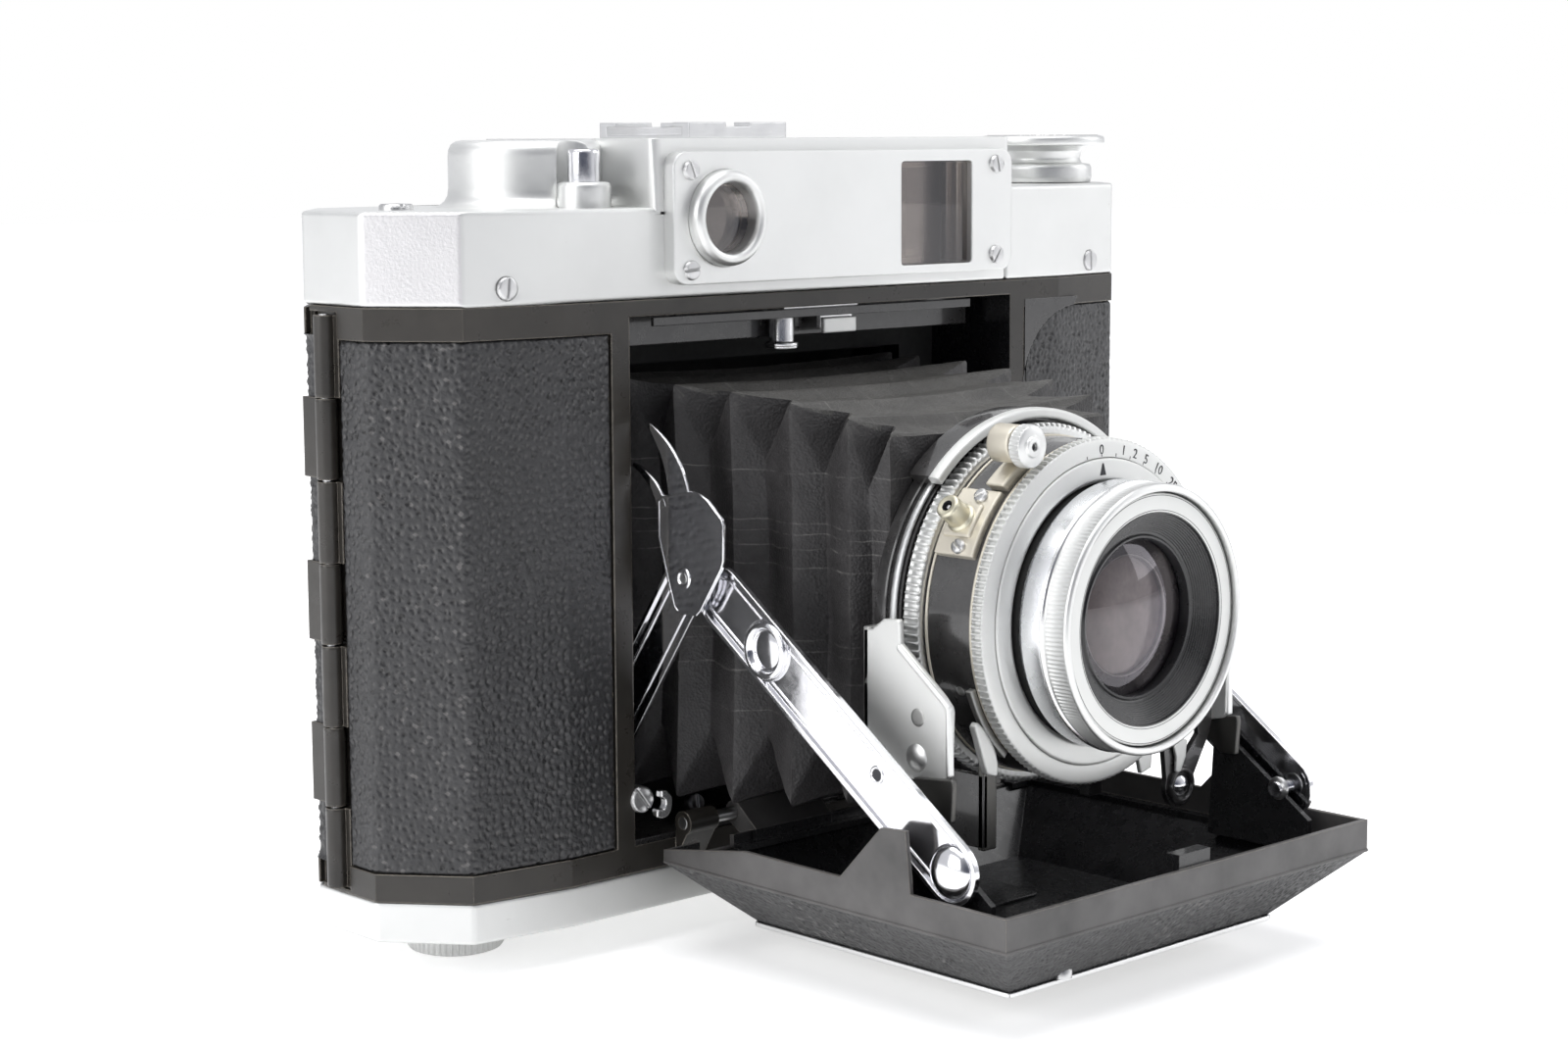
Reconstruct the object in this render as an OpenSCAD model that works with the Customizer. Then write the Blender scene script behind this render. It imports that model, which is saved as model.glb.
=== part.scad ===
// Folding roll-film camera, 6 x 6 cm on 120 film, shown with the lens door open.
// Millimetres. Origin: centre of the tripod socket on the underside of the base plate.
// X right as seen from the front, Y towards the back, Z up. The lens looks along -Y.

/* [Body] */
// overall width of the body
body_width = 138; // [136:0.5:142]
// height of the black body casting's top edge above the base plate's underside
body_top = 80.1; // [80:0.1:80.8]
// wall thickness of the body casting at the spool chambers
wall = 2.2; // [1.8:0.1:2.4]
// thickness of the leather covering
leather = 0.7; // [0.5:0.1:0.9]

/* [Film] */
// side of the square film gate
gate = 57; // [54:0.5:57]
// diameter of a spool flange
spool_flange = 25; // [24.5:0.1:25.2]
// length of a spool over its flanges
spool_length = 63.5; // [63:0.1:63.8]

/* [Lens] */
// height of the lens axis above the base plate's underside
axis_z = 41.4; // [41.2:0.1:41.6]
// radius of the lens front rim
rim_r = 16.9; // [16.6:0.1:17.1]
// radius of the shutter speed ring
speed_r = 22; // [21.5:0.1:22.4]
// teeth on the aperture ring
aperture_teeth = 72; // [48:4:96]

/* [Bellows] */
// number of bellows folds
folds = 5; // [4:1:6]

/* [Controls] */
// how far the spool knobs stand below the base plate
knob_drop = 5; // [4:0.5:6]
// teeth on the knurled wheels
wheel_teeth = 48; // [36:4:60]

/* [Hidden] */
$fn = 0;
$fa = 3;
$fs = 0.4;

// All parts are drawn with y = 0 on the body front plane, see from_front().
// Body plan
side = body_width / 2;
body_depth = 36;
front = body_depth / 2;     // body front plane to the origin
shell_back = 23;            // back edge of the casting
front_flat = 46.6;          // half width of the flat front
shoulder = [side - 8.1, 2]; // corner between the flat front and the rounded end
side_y = 11.7;              // the straight side starts here
base_top = 5.3;
opening_x = [-36, 36];      // lens opening
opening_z = [8.9, 78];
leather_z = 8.9;            // leather recesses: bottom, and tops in front and behind
front_leather_top = 76;
back_leather_top = 76.5;
leather_fit = 0.05;

// Back: hinge [x, y], red window and the pivot of its cover [x, z]
back_hinge = [-side - 0.25, 19.5];
red_window_at = [22, 27.7];
cover_pivot = [22, 34.5];

// Film: spools and right-hand roller [x, y]
spool_x = side - 17;
right_spool = [spool_x, 18];
left_spool = [-spool_x, 18];
spool_z = 10;
roller_at = [33.5, 22.35];

// Top cover: levels, windows and screws [x, z], controls [x, y]
left_step = 91.8;
right_step = 93.6;
housing_top = 100.6;
cover_wall = 1.6;
round_window = [-21.3, 90.3];
round_window_r = 4.55;
viewfinder_x = [11.5, 25.7];
viewfinder_z = [83, 97.3];
eyepiece_at = [18, 90.3];
plate_screws = [[-27.1, 96.5], [-27.1, 83.7], [30.7, 96.8], [30.7, 84]];
slot_angles = [25, -40, 60, 10];
step_screw = [54.7, 82.3];
left_step_screw = [-59, 18];
winding_at = [-34.8, 24.2];
focus_at = [43, 27.6];
release_at = [-37, 7.5];
dial_at = [58.5, 14];

// Door and struts: pivots [y, z]
door_hinge = [-1.5, 11];
rim_z = 7.4;                // underside of the door flange
tray_x = [-25, 25];         // flat underside of the door
tray_y = [-56, -12];
door_pivot = [-53.5, 14.7]; // front strut on the door
knee = [-8.2, 45];          // rear strut and lock lever
body_pivot = [6.8, 23.5];   // rear strut on the body

// Lens and shutter
plate_y = -31.4;            // back of the standard's round plate
case_y = plate_y - 2;       // back of the shutter case
drum_r = 21.5;              // shutter case ahead of its rear flange
lens_bore = 10;
glass_r = lens_bore - 0.05;
selector_at = [-13, 63.4];  // [x, z]

// Colours used more than once
casting_black = [0.05, 0.045, 0.04];
leather_black = [0.07, 0.07, 0.07];
bellows_black = [0.06, 0.06, 0.06];
shutter_black = [0.03, 0.03, 0.03];
spool_black = [0.12, 0.12, 0.12];
chrome = [0.8, 0.8, 0.8];
bright_chrome = [0.82, 0.82, 0.82];
lever_chrome = [0.85, 0.85, 0.85];
satin = [0.75, 0.75, 0.75];
roller_grey = [0.7, 0.7, 0.7];
strut_steel = [0.9, 0.9, 0.92];
lens_glass = [0.5, 0.45, 0.45, 0.5];

// ---- Helpers ----
// moves the drawing plane so that y = 0 is the body front
module from_front() { translate([0, -front, 0]) children(); }

// prisms between two stations, from [y, z], [x, z] and [x, y] outlines
module prism_x(x0, x1) {
  translate([x0, 0, 0]) rotate([90, 0, 90]) linear_extrude(x1 - x0) children();
}
module prism_y(y0, y1) {
  translate([0, y1, 0]) rotate([90, 0, 0]) linear_extrude(y1 - y0) children();
}
module prism_z(z0, z1) { translate([0, 0, z0]) linear_extrude(z1 - z0) children(); }

// round rods along an axis; at is [y, z], [x, z] and [x, y]
module rod_x(x0, x1, r, at) {
  translate([x0, at[0], at[1]]) rotate([0, 90, 0]) cylinder(r = r, h = x1 - x0);
}
module rod_y(y0, y1, r, at) {
  translate([at[0], y1, at[1]]) rotate([90, 0, 0]) cylinder(r = r, h = y1 - y0);
}
module rod_z(z0, z1, r, at) { translate([at[0], at[1], z0]) cylinder(r = r, h = z1 - z0); }

// a block from its [low, high] ranges
module box(x, y, z) {
  translate([x[0], y[0], z[0]]) cube([x[1] - x[0], y[1] - y[0], z[1] - z[0]]);
}
// a [low, high] range drawn in at both ends
function shrink(range, by) = [range[0] + by, range[1] - by];

// a toothed disc outline, and a wheel made from it
module teeth(tip, root, count) {
  polygon([for (i = [0:2 * count - 1])
    let (r = i % 2 == 0 ? tip : root, a = i * 180 / count) [r * cos(a), r * sin(a)]]);
}
module wheel(z0, z1, tip, root, count, at) {
  prism_z(z0, z1) translate(at) teeth(tip, root, count);
}

// things on the lens axis, drawn along local +Z which points to -Y
module on_axis(y) { translate([0, y, axis_z]) rotate([90, 0, 0]) children(); }
// a disc on the lens axis, its back face at y
module disc(y, r, h) { on_axis(y) cylinder(r = r, h = h); }
// [x, z] points given from the lens axis
function from_axis(points) = [for (p = points) [p.x, axis_z + p.y]];

// the children and their mirror image across x = 0
module both() {
  children();
  mirror([1, 0, 0]) children();
}
// closes a right-hand outline with its mirror image
function symmetric(right) =
  concat(right, [for (i = [len(right) - 1:-1:0]) [-right[i].x, right[i].y]]);

// a slotted screw head, axis along local +Z, head face at z = 0
module slotted(r, h) {
  difference() {
    translate([0, 0, -h]) cylinder(r = r, h = h);
    translate([-r - 1, -0.22, -0.4]) cube([2 * r + 2, 0.44, 1]);
  }
}

// a flat bar between two points with round ends
module bar(p, q, r) {
  translate(p) circle(r = r);
  translate(q) circle(r = r);
  run = q - p;
  translate(p) rotate(atan2(run[1], run[0]))
    translate([0, 0.03 - r]) square([norm(run), 2 * r - 0.06]);
}

// ---- Body plan outlines, drawn in by inset ----
function quarter(inset) = [
  [front_flat, inset],
  [shoulder.x - 0.3 * inset, shoulder.y + 0.8 * inset],
  [side - inset, side_y + 0.35 * inset]];

// front part, ending at y = y1
module plan(y1, inset) { polygon(symmetric(concat(quarter(inset), [[side - inset, y1]]))); }

// full outline
module plan_full(inset) {
  q = quarter(inset);
  polygon(symmetric(concat(q, [for (i = [2:-1:0]) [q[i].x, body_depth - q[i].y]])));
}

// right spool chamber
module chamber() {
  polygon([
    [38.6, wall], [46.4, wall],
    [shoulder.x - 0.45 * wall, shoulder.y + 0.9 * wall],
    [side - wall, side_y + 0.4 * wall], [side - wall, 24], [38.6, 24]]);
}

// one of the seven back hinge barrels with its tab [x0, x1, y0, y1], x from the left side
module back_knuckle(i, lift, tab, bore) {
  z0 = 6 + i * 10.45 + lift;
  z1 = 16.3 + i * 10.45;
  difference() {
    union() {
      rod_z(z0, z1, 1.35, back_hinge);
      box([-side + tab[0], -side + tab[1]], [tab[2], tab[3]], [z0, z1]);
    }
    rod_z(5, 81, bore, back_hinge);
  }
}

// ---- Body ----
// black body casting: front wall with the lens opening, spool chambers and hinge parts
module body_shell() color(casting_black) from_front() {
  difference() {
    prism_z(base_top, body_top) plan(shell_back, 0);
    box(opening_x, [-1, 24], opening_z);
    both() prism_z(7.5, 78) chamber();
    both() rod_z(5, 8, 2.6, right_spool);
    rod_z(77, 81, 3.2, left_spool);
    // recess for the leather on front and sides
    both() difference() {
      prism_z(leather_z, front_leather_top) difference() {
        plan(22.2, -1);
        plan(23, leather);
      }
      box([-39, 39], [-3, 30], [0, 90]);
    }
    // recess in the left side for the hinge barrels
    box([-side - 1, -side + 1.25], [17.2, 24], [5.8, 79.4]);
    // latch slot in the right side
    box([side - 0.9, side + 1], [19.8, 24], [33, 49]);
  }
  // studs the rear struts swing on
  both() rod_x(33.2, 36.1, 1.2, body_pivot);
  // door hinge lugs
  both() difference() {
    union() {
      rod_x(24, 29, 1.6, door_hinge);
      prism_x(24, 29) polygon([
        [0.6, 8.6], [0.6, 6.2], [-0.2, 6.2], [-3.1, 11], [-0.4, 12.2], [0.05, 8.6]]);
    }
    rod_x(23, 30, 0.85, door_hinge);
  }
  for (i = [0, 2, 4, 6]) back_knuckle(i, 0, [0.2, 1.4, 17.2, 19.4], 0.65);
}

// leather panels left and right of the opening
module leather_front() color(leather_black) from_front() difference() {
  prism_z(leather_z + leather_fit, front_leather_top - leather_fit) difference() {
    plan(22.1, 0);
    plan(23, leather);
  }
  box([-39.1, 39.1], [-3, 30], [0, 90]);
  box([-side - 1, -side + 1], [17.1, 24], [5, 80]);
  box([side - 1, side + 1], [19.7, 24], [32, 50]);
  // the right panel's inner top corner is cut back in a curve
  difference() {
    box([39, 50.8], [-3, 2], [64, 77]);
    rod_y(-4, 3, 12, [50.8, 64]);
  }
}

// satin base plate
module base_plate() color([0.8, 0.8, 0.79]) from_front() difference() {
  union() {
    difference() {
      prism_z(0, base_top) plan_full(0);
      prism_z(1.6, 6) plan_full(1.6);
    }
    prism_z(4.5, base_top) plan_full(1);
  }
  rod_z(-1, 6, 4.6, [0, front]);
  both() rod_z(-1, 6, 3, right_spool);
}

// tripod bush with a plain blind bore
module tripod_bush() color([0.75, 0.75, 0.74]) from_front() difference() {
  union() {
    rod_z(0, 4.5, 4.6, [0, front]);
    rod_z(4.5, base_top, 4.6, [0, front]);
  }
  rod_z(-1, 4.6, 2.6, [0, front]);
}

// ---- Top cover ----
// the part of a body-shaped slab that lies inside the ranges x and z
module step_slab(z0, z1, inset, x, z) {
  intersection() {
    prism_z(z0, z1) plan_full(inset);
    box(x, [-5, 50], z);
  }
}

// top cover with two steps, the rangefinder housing and the round winding platform
module top_cover() color([0.82, 0.82, 0.81]) from_front() difference() {
  union() {
    step_slab(body_top, left_step, 0, [-80, -31], [80, 92]);
    step_slab(body_top, right_step, 0, [30, 80], [80, 94]);
    box([-31.5, 36], [0, body_depth], [body_top, 99.6]);
    box([-30.5, 35], [1, body_depth - 1], [99.6, housing_top]);
    // winding platform, a low drum running into the housing
    rod_z(left_step, 99.4, 10.8, [-35.5, 20.5]);
    rod_z(99.4, housing_top, 9.8, [-35.5, 20.5]);
  }
  // hollows for the rangefinder and under the steps
  box([-29.5, 34], [cover_wall, 34], [body_top - 1, 98.2]);
  step_slab(body_top - 1, 90.3, cover_wall, [-80, -31.2], [79, 92]);
  step_slab(body_top - 1, 92, cover_wall, [36, 80], [79, 94]);
  // room for the winding wheel, open at the back
  rod_z(93, 97, 9.2, winding_at);
  rod_z(82, 93.1, 6, winding_at);
  // windows through the front wall, eyepiece through the back wall
  rod_y(-1, 3, round_window_r, round_window);
  box(viewfinder_x, [-1, 3], viewfinder_z);
  rod_y(33, 37, 3.05, eyepiece_at);
  // focus wheel, release and dial
  rod_z(83.9, 88.6, 9.8, focus_at);
  rod_z(90, 93, 2.85, release_at);
  rod_z(left_step, 102, 3.55, release_at);
  rod_z(91, 95, 3.05, dial_at);
  // screw seats at the front of the steps and on the left step
  for (x = [-1, 1] * step_screw.x) rod_y(-1, 2.3, 1.45, [x, step_screw.y]);
  rod_z(91.2, 93, 2.2, left_step_screw);
}

// a slotted screw facing the front
module front_screw(y, at, angle, r, h) {
  translate([at.x, y, at.y]) rotate([90, 0, 0]) rotate([0, 0, angle]) slotted(r, h);
}

// four screws on the front plate, two at the front of the steps, one on the left step
module slotted_screws() color(chrome) from_front() {
  for (i = [0:3]) front_screw(-2.35, plate_screws[i], slot_angles[i], 1.25, 1.1);
  for (x = [-1, 1] * step_screw.x) front_screw(0.9, [x, step_screw.y], 88, 1.45, 1.4);
  translate([left_step_screw.x, left_step_screw.y, 92.6]) rotate([0, 0, 30])
    slotted(2.15, 1.3);
}

// raised front plate of the rangefinder, with rounded corners
module rf_plate() color([0.84, 0.84, 0.83]) from_front() difference() {
  prism_y(-2, 0) union() {
    translate([-28, 81.8]) square([60, 17.1]);
    translate([-30, 83.8]) square([64, 13.1]);
    for (x = [-28, 32], z = [83.8, 96.9]) translate([x, z]) circle(r = 2);
  }
  rod_y(-3, 1, 6.3, round_window);
  box(viewfinder_x, [-3, 1], viewfinder_z);
  for (at = plate_screws) rod_y(-3, -1.2, 1.28, at);
}

// ring of the round window
module rf_ring() color(chrome) from_front() difference() {
  union() {
    rod_y(-3.4, -0.02, 6.25, round_window);
    rod_y(-3.9, -3.4, 5.7, round_window);
  }
  rod_y(-5, 1, round_window_r, round_window);
}

// three window glasses
module window_glasses() color([0.35, 0.36, 0.36, 0.5]) from_front() {
  rod_y(-1.6, -0.4, round_window_r - 0.05, round_window);
  box(shrink(viewfinder_x, 0.05), [-1.1, -0.1], shrink(viewfinder_z, 0.05));
  rod_y(34.6, 35.6, 2.4, eyepiece_at);
}

// eyepiece bezel at the back
module eyepiece() color([0.15, 0.15, 0.15]) from_front() difference() {
  union() {
    rod_y(33.4, body_depth, 3, eyepiece_at);
    rod_y(body_depth, 37, 4.6, eyepiece_at);
  }
  rod_y(33, 38, 2.45, eyepiece_at);
}

// rangefinder mirror and beam splitter, on a carrier
module rf_mirrors() color([0.7, 0.72, 0.75]) from_front() {
  for (x = [round_window.x, 18.5])
    translate([x, 9, 85]) rotate([0, 0, 45]) translate([-6, -0.5, 0]) cube([12, 1, 10.5]);
  box([-28, 30], [4, 14], [body_top, 85]);
}

// accessory shoe
module accessory_shoe() color([0.85, 0.85, 0.84]) from_front() difference() {
  box([-17.6, 0.1], [9, 27.6], [housing_top, 102.7]);
  box([-18.5, 1], [10.5, 26.1], [101, 102.15]);
  box([-18.5, 1], [12.3, 24.3], [101.8, 104]);
  // notches in both lips
  box([-11, -6.5], [8, 12.4], [102.15, 104]);
  box([-11, -6.5], [24.2, 29], [102.15, 104]);
}

// collar of the shutter release
module release_collar() color([0.86, 0.86, 0.86]) from_front() difference() {
  union() {
    rod_z(left_step, 94.6, 3.5, release_at);
    rod_z(94.6, 95.1, 3.2, release_at);
    rod_z(90.3, left_step, 2.8, release_at);
  }
  rod_z(90, 96, 2.15, release_at);
}

// ---- Bellows ----
// frame that carries the bellows' rear end
module bellows_frame() color(bellows_black) from_front() difference() {
  box(opening_x, [15.6, 18.4], opening_z);
  box([-29, 29], [15, 19], [12.4, 70.4]);
}

// [half width, y] pleat points from the rear end, tapering from rear_half to 24.6;
// even points are 3.4 further in, the first is let out by 3
function pleats(rear_half) = [for (i = [0:2 * folds]) [
  rear_half + (24.6 - rear_half) * i / (2 * folds)
    - (i % 2 == 0 ? 3.4 : 0) + (i == 0 ? 3 : 0),
  15.4 - i * 46 / (2 * folds)]];

// pleated leather bellows
module bellows() color(bellows_black) from_front() difference() {
  intersection() {
    prism_z(5, 80) polygon(symmetric(pleats(28.6)));
    prism_x(-40, 40) polygon([for (p = symmetric(pleats(28.8))) [p.y, axis_z + p.x]]);
  }
  box([-20, 20], [-32, 17], [axis_z - 20, axis_z + 20]);
}

// ---- Hinge pins and back ----
// pin of the back hinge
module back_hinge_pin() color([0.2, 0.2, 0.2]) from_front() rod_z(6, 79.1, 0.65, back_hinge);

// pins of the door hinge, held in the lugs
module door_hinge_pin() color([0.6, 0.6, 0.6]) from_front()
  both() rod_x(5, 29, 0.85, door_hinge);

// hinged back
module back_cover() color(casting_black) from_front() {
  difference() {
    prism_z(5.6, 79.8) difference() {
      plan_full(0);
      translate([-80, -10]) square([160, 33.3]);
    }
    prism_z(7.6, 77.8) intersection() {
      plan_full(2);
      translate([-80, 20]) square([160, 20]);
    }
    // recess for the leather
    prism_z(leather_z, back_leather_top) difference() {
      plan_full(-1);
      plan_full(leather);
    }
    box([-side - 1, -side + 0.9], [20, 24], [4, 81]);
    // latch slot and the red window's hole
    box([side - 2.5, side + 1], [22, 27.4], [33, 49]);
    rod_y(30, 40, 5.1, red_window_at);
  }
  for (i = [1, 3, 5]) back_knuckle(i, 0.15, [-0.35, 0.8, 19.6, 24.5], 0.7);
}

// leather on the back
module leather_back() color(leather_black) from_front() difference() {
  prism_z(leather_z + leather_fit, back_leather_top - leather_fit) difference() {
    plan_full(0);
    plan_full(leather);
  }
  box([-80, 80], [-5, 24.2], [0, 90]);
  box([-side - 1, -side + 3.5], [20, 25.6], [0, 90]);
  box([side - 3, side + 1], [20, 28], [32, 50]);
  rod_y(30, 40, 5.3, red_window_at);
  rod_y(30, 40, 1, cover_pivot);
}

// sliding latch of the back
module back_latch() color(satin) from_front() {
  box([side - 0.7, side + 0.9], [20.2, 27.2], [35, 45]);
  box([side + 0.9, side + 1.9], [21.2, 26.2], [39, 41]);
}

// red film-number window in the back
module red_window() color([0.5, 0.02, 0.02, 0.6]) from_front()
  rod_y(34.2, 35, 5.1, red_window_at);

// swinging cover of the red window, with a finger tab and a pivot
module window_shutter() color([0.1, 0.1, 0.1]) from_front() {
  prism_y(36.05, 36.8) union() {
    translate(red_window_at) circle(r = 6.2);
    translate([20, 29]) square([4, 5.5]);
    translate(cover_pivot) circle(r = 2);
    translate([27.6, red_window_at.y]) circle(r = 1.6);
  }
  rod_y(35.35, 36.1, 0.9, cover_pivot);
}

// ---- Film path ----
// film carriage with the gate
module film_carriage() color([0.08, 0.08, 0.08]) from_front() difference() {
  box([-35.8, 35.8], [19, 24.4], [9.4, 77.5]);
  box([-gate / 2, gate / 2], [18, 26], [axis_z - gate / 2, axis_z + gate / 2]);
  both() box([31.2, 37], [19.9, 26], [12, 74.2]);
  both() rod_z(10.2, 76.6, 0.85, roller_at);
}

// film pressure plate: sheet, bottom and top pads, two ribs behind
module pressure_plate() color([0.1, 0.1, 0.1]) from_front() {
  box([-30.8, 30.8], [24.75, 25.75], [9.5, 76.5]);
  box([-30.8, 30.8], [24.4, 24.75], [9.5, 10.4]);
  box([-30.8, 30.8], [24.4, 24.75], [72.8, 76.5]);
  both() box([14, 16], [25.75, 26.3], [20, 63]);
}

module roller(x) from_front() {
  rod_z(12.3, 73.9, 2.1, [x, roller_at.y]);
  rod_z(10.5, 76.3, 0.8, [x, roller_at.y]);
}
module film_roller_l() color(roller_grey) roller(-roller_at.x);
module film_roller_r() color(roller_grey) roller(roller_at.x);

// film spool with end bores, a key slot at the top and a film slit
module spool(at) from_front() translate([at.x, at.y, spool_z]) difference() {
  union() {
    cylinder(r = spool_flange / 2, h = 1);
    translate([0, 0, spool_length - 1]) cylinder(r = spool_flange / 2, h = 1);
    cylinder(r = 6, h = spool_length);
  }
  translate([0, 0, -1]) cylinder(r = 2.45, h = 9);
  translate([0, 0, spool_length - 8]) cylinder(r = 2.45, h = 9);
  translate([-4.6, -0.7, spool_length - 4]) cube([9.2, 1.4, 5]);
  translate([-7, -0.4, 8]) cube([14, 0.8, spool_length - 16]);
}
module takeup_spool() color(spool_black) spool(left_spool);
module supply_spool() color(spool_black) spool(right_spool);

// ---- Controls on the body ----
// winding wheel: knurled thumb wheel, shaft and small gear
module winding_wheel() color(chrome) from_front() difference() {
  union() {
    wheel(93.2, 96.8, 8.6, 8.15, wheel_teeth, winding_at);
    rod_z(82.4, 93.2, 2.4, winding_at);
    wheel(82.4, 84.2, 5, 4.5, 24, winding_at);
  }
  rod_z(82, 97, 1.05, winding_at);
}

// gear and key that turn the take-up spool
module takeup_key() color(satin) from_front() {
  wheel(82.4, 84.2, 7.65, 7.15, 37, left_spool);
  rod_z(77.9, 82.4, 3.15, left_spool);
  rod_z(70, 77.9, 2.2, left_spool);
  translate([left_spool.x, left_spool.y, 70.4])
    translate([-4.3, -0.5, 0]) cube([8.6, 1, 2.9]);
}

// knurled knob under a spool, with its stem
module spool_knob(at) from_front() {
  wheel(-knob_drop, -0.4, 6.4, 6.05, 40, at);
  rod_z(-0.4, 9.9, 2.5, at);
  rod_z(9.9, 14.6, 2.4, at);
}
module knob_l() color(satin) spool_knob(left_spool);
module knob_r() color(satin) spool_knob(right_spool);

// focusing wheel, reached at the back of the right step
module focus_wheel() color(chrome) from_front() {
  wheel(84.2, 88.2, 9.4, 9.0, wheel_teeth, focus_at);
  rod_z(81, 91.4, 1.5, focus_at);
}

// distance dial with its neck and flared collar
module distance_dial() color(bright_chrome) from_front() {
  neck = right_step + 0.05;
  rod_z(99.2, 100.4, 9.4, dial_at);
  rod_z(100.4, 100.8, 8.9, dial_at);
  translate([dial_at.x, dial_at.y, 96.5]) cylinder(r1 = 5.6, r2 = 8, h = 2.7);
  rod_z(neck, 96.5, 7.4, dial_at);
  rod_z(89, neck, 3, dial_at);
}

// shutter release button with its stem
module release_button() color([0.9, 0.9, 0.9]) from_front() {
  rod_z(88.5, 98.6, 2.1, release_at);
  rod_z(98.6, 99.3, 1.8, release_at);
}

// ---- Door ----
// tray with sloping sides, drawn in by inset, from the flange down to z = bottom
module tray(inset, bottom) {
  top = rim_z + 0.001;
  intersection() {
    prism_y(-70, 0)
      polygon(symmetric([[35.1 - inset, top], [tray_x[1] - inset, bottom]]));
    prism_x(-40, 40) polygon([
      [-64.6 + inset, top], [-4.6 - inset, top],
      [tray_y[1] - inset, bottom], [tray_y[0] + inset, bottom]]);
  }
}

// black door pan with flange walls, hinge knuckles, ears and strut brackets
module door_pan() color(casting_black) from_front() {
  difference() {
    union() {
      // flange
      difference() {
        prism_x(-35.1, 35.1) polygon([
          [-64.6, rim_z], [-64.6, 11.6], [-20, 11.6], [-4.6, 9.1], [-4.6, rim_z]]);
        box([-34.5, 34.5], [-63.9, -5.4], [7, 13]);
      }
      difference() {
        tray(0.9, -1);
        tray(1.7, -0.5);
      }
    }
    both() box([23.5, 29.5], [-7, 1], [7.5, 13]);
  }
  // inner shelf joining the flange and the tray
  difference() {
    union() {
      box([-33.9, 33.9], [-63.4, -5.75], [7.15, 7.45]);
      box([-34.6, 34.6], [-64, -5.3], [rim_z, 8]);
    }
    box([-33, 33], [-62.2, -7], [6, 9]);
    both() box([23.5, 29.5], [-9, 1], [6, 9]);
  }
  // hinge knuckles
  both() difference() {
    union() {
      rod_x(6, 20, 1.6, door_hinge);
      prism_x(6, 20) polygon([[-0.6, 9.7], [-5.2, 6.8], [-6, 7.2], [-6, 9.4], [-2.4, 12.3]]);
    }
    rod_x(5, 21, 0.9, door_hinge);
  }
  // ears on the flange
  both() prism_x(-35.1, -34.5)
    polygon([[-36.6, 10.9], [-44.3, 18.9], [-48.4, 19.2], [-49.3, 11.1]]);
  // strut brackets inside the door
  both() difference() {
    union() {
      prism_x(-31.1, -30.3)
        polygon([[-42, 6.8], [-42.8, 20.2], [-44, 21.3], [-58.6, 11.2], [-58.6, 6.8]]);
      box([-33.2, -30.3], [-58.6, -42], [6.7, 7.5]);
    }
    rod_x(-32, -29, 1.05, door_pivot);
  }
  // catch hook at the door's free end
  box([-3, 3], [-63.9, -62.9], [rim_z, 13.4]);
  box([-3, 3], [-62.9, -61.9], [12.5, 13.4]);
}

// leather on the door's sloping sides
module door_leather() color(leather_black) from_front() difference() {
  tray(0, -0.99);
  tray(0.87, -1);
  box([-90, 90], [-90, 90], [-3, -0.98]);
  box([-90, 90], [-90, 90], [7.14, 9]);
  both() box([5.9, 20.1], [-7, -4], [6.72, 9]);
}

// bright plate under the door, with a raised edge
module door_plate() color(lever_chrome) from_front() difference() {
  box(shrink(tray_x, -0.4), shrink(tray_y, -0.4), [-1.5, -1]);
  box(shrink(tray_x, 0.6), shrink(tray_y, 0.6), [-2, -1.3]);
}

// spring latch of the door, inside the top of the opening
module door_latch() color(chrome) from_front() {
  box([-6, 8], [3, 7], [77.2, 77.9]);
  rod_z(72.9, 77.2, 1.7, [-4.7, 5]);
  rod_z(72.2, 72.9, 2.3, [-4.7, 5]);
  box([2, 8], [4.2, 5], [74.6, 77.2]);
}

// ---- Struts, drawn on the left side ----
module strut_front() {
  boss = [-21.6, 37.15];
  difference() {
    union() {
      prism_x(-32.8, -32) bar(door_pivot, [-13.5, 42.8], 4.1);
      rod_x(-33.15, -32.7, 3.4, boss);
    }
    rod_x(-34, -33, 2.6, boss);
    rod_x(-34, -30, 0.8, [-41, 24.4]);
  }
  // pivot rivet with a conical head
  translate([-29.6, door_pivot[0], door_pivot[1]]) rotate([0, -90, 0]) rotate_extrude()
    polygon([[0, 0], [1, 0], [1, 3], [2.95, 3], [2.95, 3.6], [1.7, 4.2], [0, 4.2]]);
}
module strut_front_l() color(strut_steel) from_front() strut_front();
module strut_front_r() color(strut_steel) from_front() mirror([1, 0, 0]) strut_front();

module strut_rear() prism_x(-33.8, -33.25) difference() {
  union() {
    bar(body_pivot, knee, 3.7);
    translate(body_pivot) circle(r = 4.4);
  }
  translate(body_pivot) circle(r = 1.25);
  translate(knee) circle(r = 1.5);
}
module strut_rear_l() color(strut_steel) from_front() strut_rear();
module strut_rear_r() color(strut_steel) from_front() mirror([1, 0, 0]) strut_rear();

// a thin curved horn: a crescent trimmed above z = top and along its front edge
module horn(r, centre, hollow, top, top_width, front_width) {
  difference() {
    translate(centre) circle(r = r);
    translate(hollow) circle(r = r - 0.7);
    translate([-40, top]) square([top_width, 30]);
    translate([-40, 40]) square([front_width, 50]);
  }
}

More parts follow.
